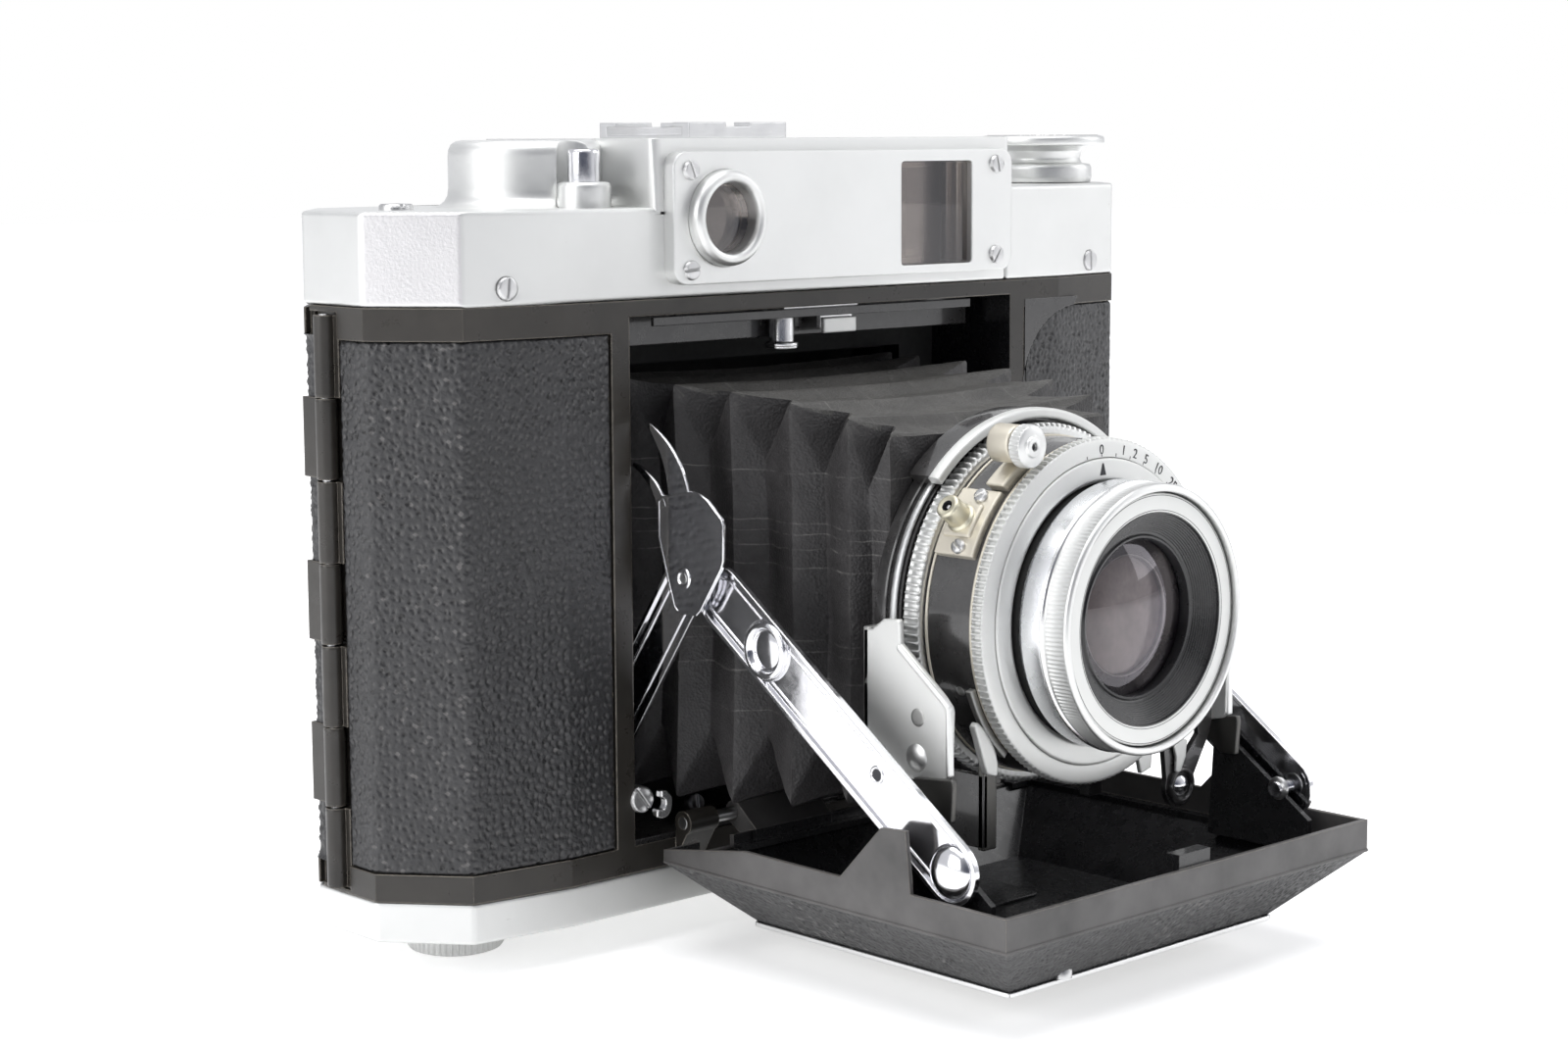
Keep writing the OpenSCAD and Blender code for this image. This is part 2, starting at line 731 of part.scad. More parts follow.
module lock_lever() prism_x(-34.4, -33.87) difference() {
  union() {
    polygon([
      [-3.8, 54.6], [-10.4, 56.4], [-12.6, 55.8], [-15.7, 53], [-15.7, 47.4],
      [-11.2, 40.6], [-6.6, 40.4], [-5.2, 44], [-3.2, 49.6]]);
    horn(12.6, [-13.2, 65.4], [-14.4, 67.6], 63.8, 40, 28.4);
    horn(11, [-8, 64.5], [-8.8, 66.2], 60, 60, 35);
  }
  translate(knee) circle(r = 0.8);
}
module lock_lever_l() color(strut_steel) from_front() lock_lever();
module lock_lever_r() color(strut_steel) from_front() mirror([1, 0, 0]) lock_lever();

// ---- Lens standard and shutter ----
// lens standard: rear plate, guard arc over the top, side cheeks and short legs
module lens_standard() color([0.75, 0.76, 0.76]) from_front() {
  difference() {
    disc(plate_y, 23.3, 2);
    disc(-30, 13.5, 5);
  }
  // guard arc
  intersection() {
    difference() {
      disc(-31.8, 25, 5.4);
      disc(case_y, 23.6, 8);
      disc(-31, 22.6, 8);
    }
    prism_y(-40, -30)
      polygon(from_axis([[0, 0], [-40, 26], [-20, 40], [20, 40], [38, 26]]));
  }
  // side cheeks
  both() {
    prism_x(-27, -26.2) polygon([
      [-36.8, 42.1], [-39.2, 42.4], [-46.9, 33.5], [-48, 32.8],
      [-47.8, 24.2], [-38.7, 23.2], [plate_y, 26], [plate_y, 40]]);
    box([-26.5, -18.5], [case_y, plate_y], [29, 38]);
  }
  // legs under the shutter
  both() box([-17, -15.4], [case_y, plate_y], [12.8, 24]);
  box([-16.8, -15.6], [-43, -40], [12.6, 26.6]);
}

// black link and foot under the standard
module standard_link() color(shutter_black) from_front() {
  both() prism_x(-27.8, -27)
    polygon([[-43, 24], [-49, 24], [-49, 20.6], [-47.6, 19.4], [-45.5, 19]]);
  prism_y(-45.6, -44.8) difference() {
    bar([19.7, 15.7], [22.6, 23.5], 2.6);
    translate([20.6, 19.5]) circle(r = 1.1);
  }
  box([22.2, 26.2], [-45.6, -44.8], [24, 28]);
  rod_y(-46.4, -45.6, 1.7, [19.7, 15.6]);
}

// shutter case with the rear tube
module shutter_case() color(shutter_black) from_front() difference() {
  union() {
    disc(case_y, 23, 2.4);
    disc(case_y, drum_r, 13.1);
    disc(-28.2, 13.4, 6);
    rod_y(-46.3, -42.8, 2.4, selector_at);
    translate([0, -43, axis_z]) rotate([0, -30.6, 0])
      translate([-1.4, -3, 19.8]) cube([2.8, 3, 5]);
  }
  disc(-36, 19.6, 9);
  disc(-44, 13.05, 4);
  disc(-27, lens_bore, 10);
  // bore for the selector wheel
  rod_y(-48, -43.4, 1.05, selector_at);
}

// flash socket with its post and plate
module sync_socket() color([0.8, 0.75, 0.6]) from_front()
  translate([0, 0, axis_z]) rotate([0, -55, 0]) {
    difference() {
      translate([-4.6, -45, 20.6]) cube([9.2, 6.3, 1.9]);
      translate([0, -30, 0]) rotate([90, 0, 0]) cylinder(r = drum_r + 0.02, h = 20);
    }
    translate([0, -41.6, 22.4]) difference() {
      cylinder(r = 2, h = 3.6);
      translate([0, 0, 0.6]) cylinder(r = 1.4, h = 4);
    }
    translate([0, -41.6, 22.3]) cylinder(r = 0.7, h = 3.1);
  }

// front lens barrel with the knurled band
module lens_barrel() color(chrome) from_front() difference() {
  union() {
    disc(-56.9, rim_r, 0.5);
    on_axis(-54) linear_extrude(2.9) teeth(rim_r - 0.05, rim_r - 0.4, 90);
    disc(-50, rim_r, 4);
    disc(-46.5, 16.3, 3.5);
    disc(-42, 13, 4.6);
  }
  disc(-56.5, 15.9, 2);
  on_axis(-54.3) cylinder(r1 = 10.4, r2 = 13.3, h = 2.3);
  disc(-41, lens_bore, 14);
}

// retaining ring at the front, blank
module name_ring() color([0.85, 0.85, 0.84]) from_front() difference() {
  disc(-56.5, 15.85, 0.6);
  disc(-56, 13.35, 2);
}

// front element
module front_glass() color(lens_glass) from_front() intersection() {
  disc(-49.8, glass_r, 6);
  translate([0, -32.3, axis_z]) sphere(r = 23);
}

// rear element
module rear_glass() color(lens_glass) from_front() {
  disc(-29, 9.2, 0.8);
  disc(-29.8, glass_r, 2.6);
}

// five shutter blades, closed
module shutter_blades() color([0.15, 0.15, 0.17]) from_front()
  for (k = [0:4]) on_axis(-39) rotate([0, 0, 72 * k]) linear_extrude(0.3)
    polygon([[0.05, 0.07], [19, 0.07], [5.93, 18.1], [0.06, 0.1]]);

// iris diaphragm
module iris() color([0.1, 0.1, 0.1]) from_front() difference() {
  disc(-40.2, 19, 0.4);
  disc(-40, 7.6, 2);
}

// speed ring with a knurled edge
module speed_ring() color(bright_chrome) from_front() difference() {
  union() {
    on_axis(-46.6) linear_extrude(1) teeth(speed_r, speed_r - 0.4, 100);
    disc(-47.6, speed_r - 0.5, 0.6);
  }
  disc(-46, 16.4, 4);
}

// serrated aperture ring round the shutter case
module aperture_ring() color(roller_grey) from_front() difference() {
  on_axis(-36) linear_extrude(2.4) teeth(23.1, 22.3, aperture_teeth);
  disc(-35, drum_r + 0.05, 5, $fn = 240);
}

// arc round the shutter case, cut out by a wedge of points from the lens axis
module arc_lever(r, thickness, wedge) {
  intersection() {
    difference() {
      disc(-45, r, thickness);
      disc(-44, drum_r + 0.2, 4);
    }
    prism_y(-50, -40) polygon(from_axis(wedge));
  }
}

// cocking lever with its finger tab
module cocking_lever() color(lever_chrome) from_front() {
  arc_lever(23.4, 1.2, [[0, 0], [-40, -32], [-14, -40]]);
  translate([0, 0, axis_z]) rotate([0, -136, 0])
    translate([-0.9, -46.2, 21.8]) cube([1.8, 2.4, 3]);
}

// release lever
module release_lever() color(lever_chrome) from_front()
  arc_lever(23.2, 1, [[0, 0], [14, -40], [26, -34]]);

// knurled selector wheel with its cap and shaft
module selector_wheel() color(bright_chrome) from_front()
  translate([selector_at.x, -46.65, selector_at.y]) rotate([90, 0, 0]) {
    linear_extrude(1.6) teeth(3.1, 2.75, 24);
    translate([0, 0, 1.6]) cylinder(r = 1.5, h = 0.4);
    translate([0, 0, -2.6]) cylinder(r = 1, h = 2.6);
  }

body_shell();
leather_front();
base_plate();
tripod_bush();
top_cover();
slotted_screws();
rf_plate();
rf_ring();
window_glasses();
eyepiece();
rf_mirrors();
accessory_shoe();
release_collar();
bellows_frame();
bellows();
back_hinge_pin();
door_hinge_pin();
back_cover();
leather_back();
back_latch();
red_window();
window_shutter();
film_carriage();
pressure_plate();
film_roller_l();
film_roller_r();
takeup_spool();
supply_spool();
takeup_key();
winding_wheel();
knob_l();
knob_r();
focus_wheel();
distance_dial();
release_button();
door_pan();
door_leather();
door_plate();
door_latch();
strut_front_l();
strut_front_r();
strut_rear_l();
strut_rear_r();
lock_lever_l();
lock_lever_r();
lens_standard();
standard_link();
shutter_case();
sync_socket();
lens_barrel();
name_ring();
front_glass();
rear_glass();
shutter_blades();
iris();
speed_ring();
aperture_ring();
cocking_lever();
release_lever();
selector_wheel();
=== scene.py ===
# A folding bellows camera with its door down and its lens drawn out on the struts.
# The drawing is in millimetres: x runs to the right across the body, z up from its underside,
# and y back from its front plane, so the open door and the lens lie at negative y.
# Left is -x and right is +x. The scene is in metres and its origin lies FRONT mm behind
# the front plane, in the middle of the body.
import bpy
import bmesh
import math
from collections import namedtuple

import numpy as np
from mathutils import Vector, Matrix, geometry


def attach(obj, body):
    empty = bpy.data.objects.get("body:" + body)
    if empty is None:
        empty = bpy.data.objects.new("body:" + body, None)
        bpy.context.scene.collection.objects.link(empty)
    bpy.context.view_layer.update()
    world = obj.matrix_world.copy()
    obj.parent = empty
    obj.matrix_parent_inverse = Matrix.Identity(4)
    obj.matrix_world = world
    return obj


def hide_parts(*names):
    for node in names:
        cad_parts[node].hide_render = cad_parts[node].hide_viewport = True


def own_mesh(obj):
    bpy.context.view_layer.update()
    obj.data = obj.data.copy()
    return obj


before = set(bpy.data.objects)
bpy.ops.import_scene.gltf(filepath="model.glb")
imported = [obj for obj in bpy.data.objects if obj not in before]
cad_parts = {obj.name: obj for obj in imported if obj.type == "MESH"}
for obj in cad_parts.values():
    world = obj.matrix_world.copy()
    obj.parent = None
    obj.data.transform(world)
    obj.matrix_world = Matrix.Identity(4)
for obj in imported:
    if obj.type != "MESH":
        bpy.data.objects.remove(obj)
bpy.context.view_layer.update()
scene = bpy.context.scene

MM = 0.001
FRONT = 18.0                    # from the body's front plane back to the origin
AXIS_Z = 41.4                   # height of the lens axis
LENS_AXIS = (0.0, AXIS_Z)       # x, z
SIDES = ((-1, "l"), (1, "r"))


# ------------------------------------------------------------------ shader nodes
def scaled(color, factor):
    return tuple(x * factor for x in color)


class Nodes:
    """A node tree with short calls for the nodes the materials and the world share."""

    def __init__(self, tree, output):
        self.tree = tree
        tree.nodes.clear()
        self.end = self.node(output).inputs[0]

    def node(self, kind, **settings):
        node = self.tree.nodes.new("ShaderNode" + kind)
        for name, value in settings.items():
            setattr(node, name, value)
        return node

    def feed(self, socket, value):
        """Links a socket or sets its value; colours may leave out their alpha."""
        if isinstance(value, bpy.types.NodeSocket):
            self.tree.links.new(value, socket)
        elif socket.type == "RGBA":
            socket.default_value = (*value[:3], 1)
        else:
            socket.default_value = value

    def make(self, kind, inputs, output=0, **settings):
        """A node with its inputs given by name or number; returns one of its outputs."""
        node = self.node(kind, **settings)
        for key, value in inputs.items():
            self.feed(node.inputs[key], value)
        return node.outputs[output]

    def math(self, operation, first, second=0.0, clamp=False):
        return self.make("Math", {0: first, 1: second}, operation=operation, use_clamp=clamp)

    def times(self, first, second):
        return self.math("MULTIPLY", first, second)

    def mix(self, factor, first, second):
        return self.make("Mix", {0: factor, 6: first, 7: second}, 2, data_type="RGBA")

    def over(self, base, color, mask, amount):
        """Lays a colour over the base where the mask is 1, at the given strength."""
        return self.mix(self.times(mask, amount), base, color)

    def ramp(self, source, *stops):
        """Stops are (position, colour or grey value)."""
        node = self.node("ValToRGB")
        elements = node.color_ramp.elements
        while len(elements) > 1:
            elements.remove(elements[-1])
        for k, (position, value) in enumerate(stops):
            element = elements.new(position) if k else elements[0]
            element.position = position
            element.color = (*value, 1) if isinstance(value, tuple) else (value,) * 3 + (1,)
        self.feed(node.inputs[0], source)
        return node.outputs[0]


class Surface(Nodes):
    """A material whose textures are placed by the object's own coordinates."""

    def __init__(self, name):
        self.material = bpy.data.materials.new(name)
        self.material.use_nodes = True
        super().__init__(self.material.node_tree, "OutputMaterial")
        self.place = self.node("TexCoord").outputs["Object"]

    def noise(self, scale, detail=3, rough=0.6, stretch=None):
        place = self.place
        if stretch:
            place = self.make("Mapping", {"Scale": stretch, 0: place})
        inputs = {"Scale": scale, "Detail": detail, "Roughness": rough, "Vector": place}
        return self.make("TexNoise", inputs, "Fac")

    def mottle(self, *stops, scale, detail=3, rough=0.6):
        """Noise turned into values or colours by a ramp."""
        return self.ramp(self.noise(scale, detail, rough), *stops)

    def specks(self, start, full, **noise):
        """1 on the few peaks of a noise."""
        return self.mottle((0, 0), (start, 0), (full, 1), **noise)

    def cells(self, scale, **settings):
        inputs = {"Scale": scale, "Vector": self.place}
        return self.make("TexVoronoi", inputs, "Distance", **settings)

    def raised(self, start, full):
        """1 on the convex parts of the mesh."""
        geometry_node = self.node("NewGeometry")
        return self.ramp(geometry_node.outputs["Pointiness"], (start, 0), (full, 1))

    def eased_normal(self, radius):
        return self.make("Bevel", {"Radius": radius}, samples=4)

    def edge_wear(self, eased, start, full, breakup=900):
        """1 along sharp edges, broken up by noise: where a finish wears."""
        normal = self.node("NewGeometry").outputs["Normal"]
        same = self.make("VectorMath", {0: eased, 1: normal}, "Value", operation="DOT_PRODUCT")
        edge = self.math("SUBTRACT", 1.0, same)
        edge = self.times(edge, self.times(self.noise(breakup, detail=4, rough=0.7), 2.0))
        return self.make("MapRange", {"From Min": start, "From Max": full, 0: edge})

    def bump(self, height, strength, distance, normal=None):
        inputs = {"Strength": strength, "Distance": distance, "Height": height}
        if normal is not None:
            inputs["Normal"] = normal
        return self.make("Bump", inputs)

    def close(self, shader):
        self.feed(self.end, shader)
        return self.material

    def finish(self, inputs):
        return self.close(self.make("BsdfPrincipled", inputs))


# ------------------------------------------------------------------ materials
def satin(name, color, rough, grain=5000, grain_depth=0.2, stretch=None, pits=0.6, metallic=1.0):
    """Frosted plated metal: fine blasted grain, soft stains, dark pits, paler edges."""
    shader = Surface(name)
    base = shader.mottle((0.3, scaled(color, 0.96)), (0.55, color), (0.8, scaled(color, 1.02)),
                         scale=55, detail=4)
    spots = shader.specks(0.69, 0.76, scale=700, detail=5, rough=0.75)
    base = shader.over(base, (0.30, 0.28, 0.25), spots, pits)
    eased = shader.eased_normal(0.0004)
    wear = shader.edge_wear(eased, start=0.08, full=0.5)
    grain_noise = shader.noise(grain, detail=2, stretch=stretch)
    return shader.finish({
        "Base Color": shader.over(base, (0.93, 0.93, 0.93), wear, 0.35),
        "Metallic": metallic,
        "Roughness": shader.mottle((0.3, rough - 0.015), (0.7, rough + 0.035),
                                   scale=240, detail=4, rough=0.65),
        "Normal": shader.bump(grain_noise, grain_depth, distance=0.00004, normal=eased)})


def chrome(name, color, rough):
    """Bright plating with faint smears, specks and a slight waviness."""
    shader = Surface(name)
    base = shader.mottle((0.3, scaled(color, 0.93)), (0.7, color), scale=160, detail=4)
    spots = shader.specks(0.72, 0.78, scale=1300, detail=4, rough=0.8)
    waves = shader.noise(90, detail=2, rough=0.5)
    return shader.finish({
        "Base Color": shader.over(base, (0.35, 0.32, 0.30), spots, 0.5),
        "Metallic": 1,
        "Roughness": shader.mottle((0.35, rough), (0.75, rough + 0.13),
                                   scale=420, detail=5, rough=0.7),
        "Normal": shader.bump(waves, strength=0.25, distance=0.0002,
                              normal=shader.eased_normal(0.00025))})


def enamel(name, color, rough, metal):
    """Stove enamel over metal: worn light along its edges, with small chips."""
    shader = Surface(name)
    base = shader.mottle((0.3, scaled(color, 0.7)), (0.7, scaled(color, 1.5)),
                         scale=90, detail=4)
    eased = shader.eased_normal(0.00035)
    wear = shader.edge_wear(eased, start=0.12, full=0.42, breakup=700)
    chips = shader.specks(0.735, 0.75, scale=520, detail=6, rough=0.75)
    worn = shader.math("MAXIMUM", shader.times(wear, 0.75), shader.times(chips, 0.45), True)
    return shader.finish({
        "Base Color": shader.mix(worn, base, metal),
        "Metallic": shader.times(worn, 0.7),
        "Roughness": shader.mottle((0.3, rough - 0.06), (0.75, rough + 0.14),
                                   scale=300, detail=5, rough=0.7),
        "Normal": shader.bump(shader.noise(1500), strength=0.12, distance=0.00005,
                              normal=eased)})


def leather(name, color, rough, cell, depth, scuffs):
    """Grained leather: pits darkened with painted shade, in patches; pale scuffs on the high
    spots.
    """
    shader = Surface(name)
    walls = shader.cells(cell, feature="DISTANCE_TO_EDGE")
    base = shader.mottle((0.3, scaled(color, 0.75)), (0.7, scaled(color, 1.35)),
                         scale=45, detail=4)
    base = shader.over(base, (0.20, 0.19, 0.185), shader.raised(0.50, 0.60), 0.6 * scuffs)
    # painted shade: the pits are darkened in colour, in patches
    pits = shader.ramp(shader.cells(cell * 0.8), (0.16, 1), (0.40, 0))
    pits = shader.times(pits, shader.mottle((0.3, 0.35), (0.6, 1), scale=60))
    base = shader.over(base, scaled(color, 0.22), pits, 0.88)
    flecks = shader.specks(0.70, 0.75, scale=1500, rough=0.85)
    height = shader.math("ADD", shader.times(walls, 1.2), shader.times(shader.noise(2600), 0.5))
    height = shader.math("SUBTRACT", height, shader.times(pits, 1.3))
    return shader.finish({
        "Base Color": shader.over(base, (0.24, 0.23, 0.22), flecks, 0.15),
        "Roughness": shader.mottle((0.3, rough - 0.08), (0.75, rough + 0.16),
                                   scale=600, detail=4, rough=0.7),
        "Specular IOR Level": 0.55,
        "Normal": shader.bump(height, 0.6, depth)})


def gloss(name, color, rough, coat):
    """Glossy black under a clear coat, with rubbed edges."""
    shader = Surface(name)
    eased = shader.eased_normal(0.0002)
    wear = shader.edge_wear(eased, start=0.2, full=0.6)
    base = shader.mottle((0.3, scaled(color, 0.7)), (0.8, scaled(color, 1.6)),
                         scale=350, detail=4, rough=0.7)
    return shader.finish({
        "Base Color": shader.over(base, (0.30, 0.29, 0.27), wear, 0.4),
        "Roughness": shader.mottle((0.3, rough), (0.8, rough + 0.15),
                                   scale=500, detail=4, rough=0.7),
        "Coat Weight": coat,
        "Coat Roughness": 0.08,
        "Normal": eased})


def paint(name, color, rough):
    shader = Surface(name)
    return shader.finish({
        "Base Color": shader.mottle((0.3, scaled(color, 0.75)), (0.8, scaled(color, 1.25)),
                                    scale=500, detail=4, rough=0.7),
        "Roughness": shader.mottle((0.3, rough - 0.05), (0.8, rough + 0.1), scale=800),
        "Normal": shader.bump(shader.noise(2500, detail=2), strength=0.15, distance=0.00004)})


def coated_glass(name, tint, rough, rim, mirror):
    """Thin glass: clear face on, mirrored at grazing angles with a coloured coating."""
    shader = Surface(name)
    weight = shader.node("LayerWeight")
    shader.feed(weight.inputs["Blend"], 0.28)
    smears = shader.mottle((0.3, scaled(tint, 0.94)), (0.7, tint), scale=260, detail=4)
    clear = shader.make("BsdfTransparent", {"Color": smears})
    coating = shader.mix(weight.outputs["Facing"], (0.95, 0.93, 0.95), rim)
    shine = shader.make("BsdfGlossy", {"Roughness": rough, "Color": coating})
    amount = shader.times(weight.outputs["Fresnel"], 0.9)
    amount = shader.math("ADD", amount, 0.06 + mirror, True)
    return shader.close(shader.make("MixShader", {0: amount, 1: clear, 2: shine}))


# pale creases across the pleats: (place along the axis, half width), in metres
TOP_CREASES = (
    (-0.019, 0.00013), (-0.0115, 0.00012), (-0.004, 0.00016), (0.006, 0.00012),
    (0.0145, 0.00015), (0.021, 0.00011))
SIDE_CREASES = (
    (0.0584, 0.00012), (0.0519, 0.00015), (0.0505, 0.00010), (0.0487, 0.00013),
    (0.0463, 0.00016), (0.0369, 0.00015), (0.0355, 0.0001), (0.0321, 0.00017),
    (0.0268, 0.0001))


def bellows_leather(name, color, axis, creases):
    """Worn cloth-backed leather: fine weave, pale scuffs and thin crease lines."""
    shader = Surface(name)
    base = shader.mottle((0.28, scaled(color, 0.6)), (0.55, color), (0.78, scaled(color, 1.7)),
                         scale=70, detail=5, rough=0.7)
    split = shader.node("SeparateXYZ")
    shader.feed(split.inputs[0], shader.place)
    wobble = shader.times(shader.noise(130), 0.0011)
    along = shader.math("ADD", split.outputs[axis], wobble)
    patches = shader.mottle((0.42, 0), (0.62, 1), scale=210, detail=4, rough=0.7)
    lines = None
    for place, half_width in creases:
        away = shader.math("ABSOLUTE", shader.math("SUBTRACT", along, place + 0.0005))
        away = shader.math("DIVIDE", away, half_width)
        line = shader.math("SUBTRACT", 1.0, away, True)
        lines = line if lines is None else shader.math("MAXIMUM", lines, line)
    base = shader.over(base, (0.20, 0.195, 0.185), shader.times(lines, patches), 0.6)
    scuffs = shader.times(shader.raised(0.515, 0.60), patches)
    base = shader.over(base, (0.15, 0.145, 0.14), scuffs, 0.5)
    flecks = shader.mottle((0.70, 0), (0.76, 1), scale=1900, rough=0.8)
    weave = shader.times(shader.cells(2600), 0.5)
    folds = shader.times(shader.noise(420, detail=5, rough=0.7), 1.2)
    return shader.finish({
        "Base Color": shader.over(base, (0.24, 0.23, 0.22), flecks, 0.35),
        "Roughness": shader.mottle((0.3, 0.42), (0.75, 0.68), scale=500, detail=4, rough=0.7),
        "Specular IOR Level": 0.45,
        "Normal": shader.bump(shader.math("ADD", weave, folds), 0.7, distance=0.00022)})


MATERIALS = {
    "satin": satin("satin_plate", (0.74, 0.745, 0.735), rough=0.44, grain=6500, pits=0.5),
    # a darker copy of the satin plating: painted shade for the parts that sit in shade
    "satin_dark": satin("satin_shaded", (0.42, 0.42, 0.41), rough=0.42, grain=6500,
                        grain_depth=0.25),
    "satin_fine": satin("satin_fine", (0.76, 0.765, 0.755), rough=0.38, grain=9000,
                        grain_depth=0.12, pits=0.3),
    "gunmetal": satin("gunmetal", (0.14, 0.137, 0.13), rough=0.40, pits=0.3),
    "speckle": satin("blasted_facet", (0.74, 0.73, 0.735), rough=0.42, grain=2600,
                     grain_depth=0.8, pits=0.4),
    "turned": satin("turned_ring", (0.88, 0.89, 0.91), rough=0.26, grain_depth=0.10,
                    stretch=(1, 30, 1), pits=0.25),
    "white_ring": satin("frosted_ring", (0.72, 0.725, 0.71), rough=0.46, grain=7000,
                        grain_depth=0.12, pits=0.2, metallic=0.8),
    "hammered": satin("hammered_rim", (0.66, 0.67, 0.67), rough=0.36, grain=1900,
                      grain_depth=1.0, pits=0.5),
    "steel": satin("screw_steel", (0.66, 0.66, 0.66), rough=0.28),
    "chrome": chrome("mirror_chrome", (0.86, 0.86, 0.885), rough=0.07),
    "chrome_soft": chrome("plated_bright", (0.88, 0.88, 0.88), rough=0.16),
    "enamel": enamel("black_enamel", (0.022, 0.0195, 0.0165), rough=0.30,
                     metal=(0.50, 0.45, 0.38)),
    "enamel_door": enamel("door_enamel", (0.074, 0.071, 0.070), rough=0.34,
                          metal=(0.42, 0.38, 0.33)),
    "gloss": gloss("gloss_black", (0.022, 0.021, 0.021), rough=0.24, coat=0.8),
    "door_inside": gloss("door_inside_black", (0.010, 0.010, 0.011), rough=0.22, coat=0.3),
    "matt": paint("matt_black", (0.014, 0.014, 0.014), rough=0.72),
    "dark": paint("inner_black", (0.008, 0.008, 0.008), rough=0.85),
    "ink": paint("engraved_paint", (0.03, 0.03, 0.035), rough=0.6),
    "cone": gloss("anodised_cone", (0.009, 0.009, 0.010), rough=0.24, coat=0.35),
    "leather": leather("pebbled_leather", (0.023, 0.023, 0.0245), rough=0.38, cell=1150,
                       depth=0.00014, scuffs=0.7),
    "door_leather": leather("door_leather", (0.032, 0.032, 0.033), rough=0.44, cell=1400,
                            depth=0.00016, scuffs=0.9),
    "bellows": bellows_leather("bellows_leather", (0.034, 0.0322, 0.033), "Z", SIDE_CREASES),
    # a lighter copy of the bellows leather for the faces turned up: painted light on the top
    "bellows_painted_top_light": bellows_leather("bellows_painted_top_light", (0.062, 0.060, 0.056), "X", TOP_CREASES),
    "cream": satin("cream_brass", (0.66, 0.62, 0.53), rough=0.42, grain_depth=0.15,
                   metallic=0.8),
    "brass": satin("worn_brass", (0.60, 0.57, 0.45), rough=0.36, grain=3000,
                   grain_depth=0.3, pits=0.8),
    "blade": paint("blued_blades", (0.060, 0.052, 0.048), rough=0.30),
    "glass": coated_glass("window_glass", (0.90, 0.85, 0.80), rough=0.02,
                          rim=(0.6, 0.62, 0.62), mirror=0.03),
    "lens_glass": coated_glass("coated_glass", (0.84, 0.80, 0.80), rough=0.015,
                               rim=(0.42, 0.36, 0.55), mirror=0.0),
    "element": gloss("amber_coated_element", (0.165, 0.145, 0.138), rough=0.10, coat=0.8),
    "red": coated_glass("ruby_glass", (0.45, 0.02, 0.02), rough=0.02,
                        rim=(0.9, 0.5, 0.5), mirror=0.03),
    "mirror": chrome("silvered_mirror", (0.86, 0.88, 0.90), rough=0.03),
}


# ------------------------------------------------------------------ meshes
def to_scene(point):
    return Vector((point[0] * MM, (point[1] - FRONT) * MM, point[2] * MM))


def across(axis, first, second, along):
    """The point with two coordinates across an axis and one along it."""
    return {"x": (along, first, second),
            "y": (first, along, second),
            "z": (first, second, along)}[axis]


def face_outwards(mesh, weld=False):
    work = bmesh.new()
    work.from_mesh(mesh)
    if weld:
        bmesh.ops.remove_doubles(work, verts=work.verts, dist=1e-7)
    bmesh.ops.recalc_face_normals(work, faces=work.faces)
    work.to_mesh(mesh)
    work.free()


def shade(mesh, angle):
    mesh.shade_smooth()
    mesh.set_sharp_from_angle(angle=math.radians(angle))


def link_mesh(name, mesh):
    piece = bpy.data.objects.new(name, mesh)
    scene.collection.objects.link(piece)
    return piece


def ease_edges(piece, width, segments, angle):
    edge = piece.modifiers.new("edge", "BEVEL")
    edge.width = width * MM
    edge.segments = segments
    edge.limit_method = "ANGLE"
    edge.angle_limit = math.radians(angle)
    edge.harden_normals = True
    return edge


def add_piece(name, verts, faces, material, body, replaces=None, slot=None, smooth=32,
              bevel=0.0, segments=2, bevel_angle=30, outwards=True):
    mesh = bpy.data.meshes.new(name)
    mesh.from_pydata([to_scene(v) for v in verts], [], faces)
    if outwards:
        face_outwards(mesh)
    shade(mesh, smooth)
    piece = link_mesh(name, mesh)
    mesh.materials.append(MATERIALS[material])
    if bevel:
        ease_edges(piece, bevel, segments, bevel_angle).miter_outer = "MITER_ARC"
    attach(piece, body)
    if replaces:
        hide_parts(replaces)
    return piece


# ------------------------------------------------------------------ outlines
def polar(centre, radius, degrees):
    angle = math.radians(degrees)
    return (centre[0] + radius * math.cos(angle), centre[1] + radius * math.sin(angle))


def circle(centre, radius, steps):
    return [polar(centre, radius, 360 * i / steps) for i in range(steps)]


def rect(x0, x1, y0, y1):
    return [(x0, y0), (x1, y0), (x1, y1), (x0, y1)]


def rounded_rect(x0, x1, z0, z1, radius, steps):
    corners = ((x1 - radius, z1 - radius), (x0 + radius, z1 - radius),
               (x0 + radius, z0 + radius), (x1 - radius, z0 + radius))
    return [polar(corner, radius, 90 * k + 90 * i / steps)
            for k, corner in enumerate(corners) for i in range(steps + 1)]


def capsule(start, stop, radius, steps=14):
    heading = math.degrees(math.atan2(stop[1] - start[1], stop[0] - start[0]))
    return [polar(centre, radius, heading + turn + 180 * i / steps)
            for centre, turn in ((stop, -90), (start, 90)) for i in range(steps + 1)]


def quadratic(first, middle, last, steps):
    """Points of a quadratic curve drawn towards its middle point."""
    first, middle, last = (np.array(p, float) for p in (first, middle, last))
    return [tuple((1 - i / steps) ** 2 * first + 2 * (i / steps) * (1 - i / steps) * middle
                  + (i / steps) ** 2 * last) for i in range(steps + 1)]


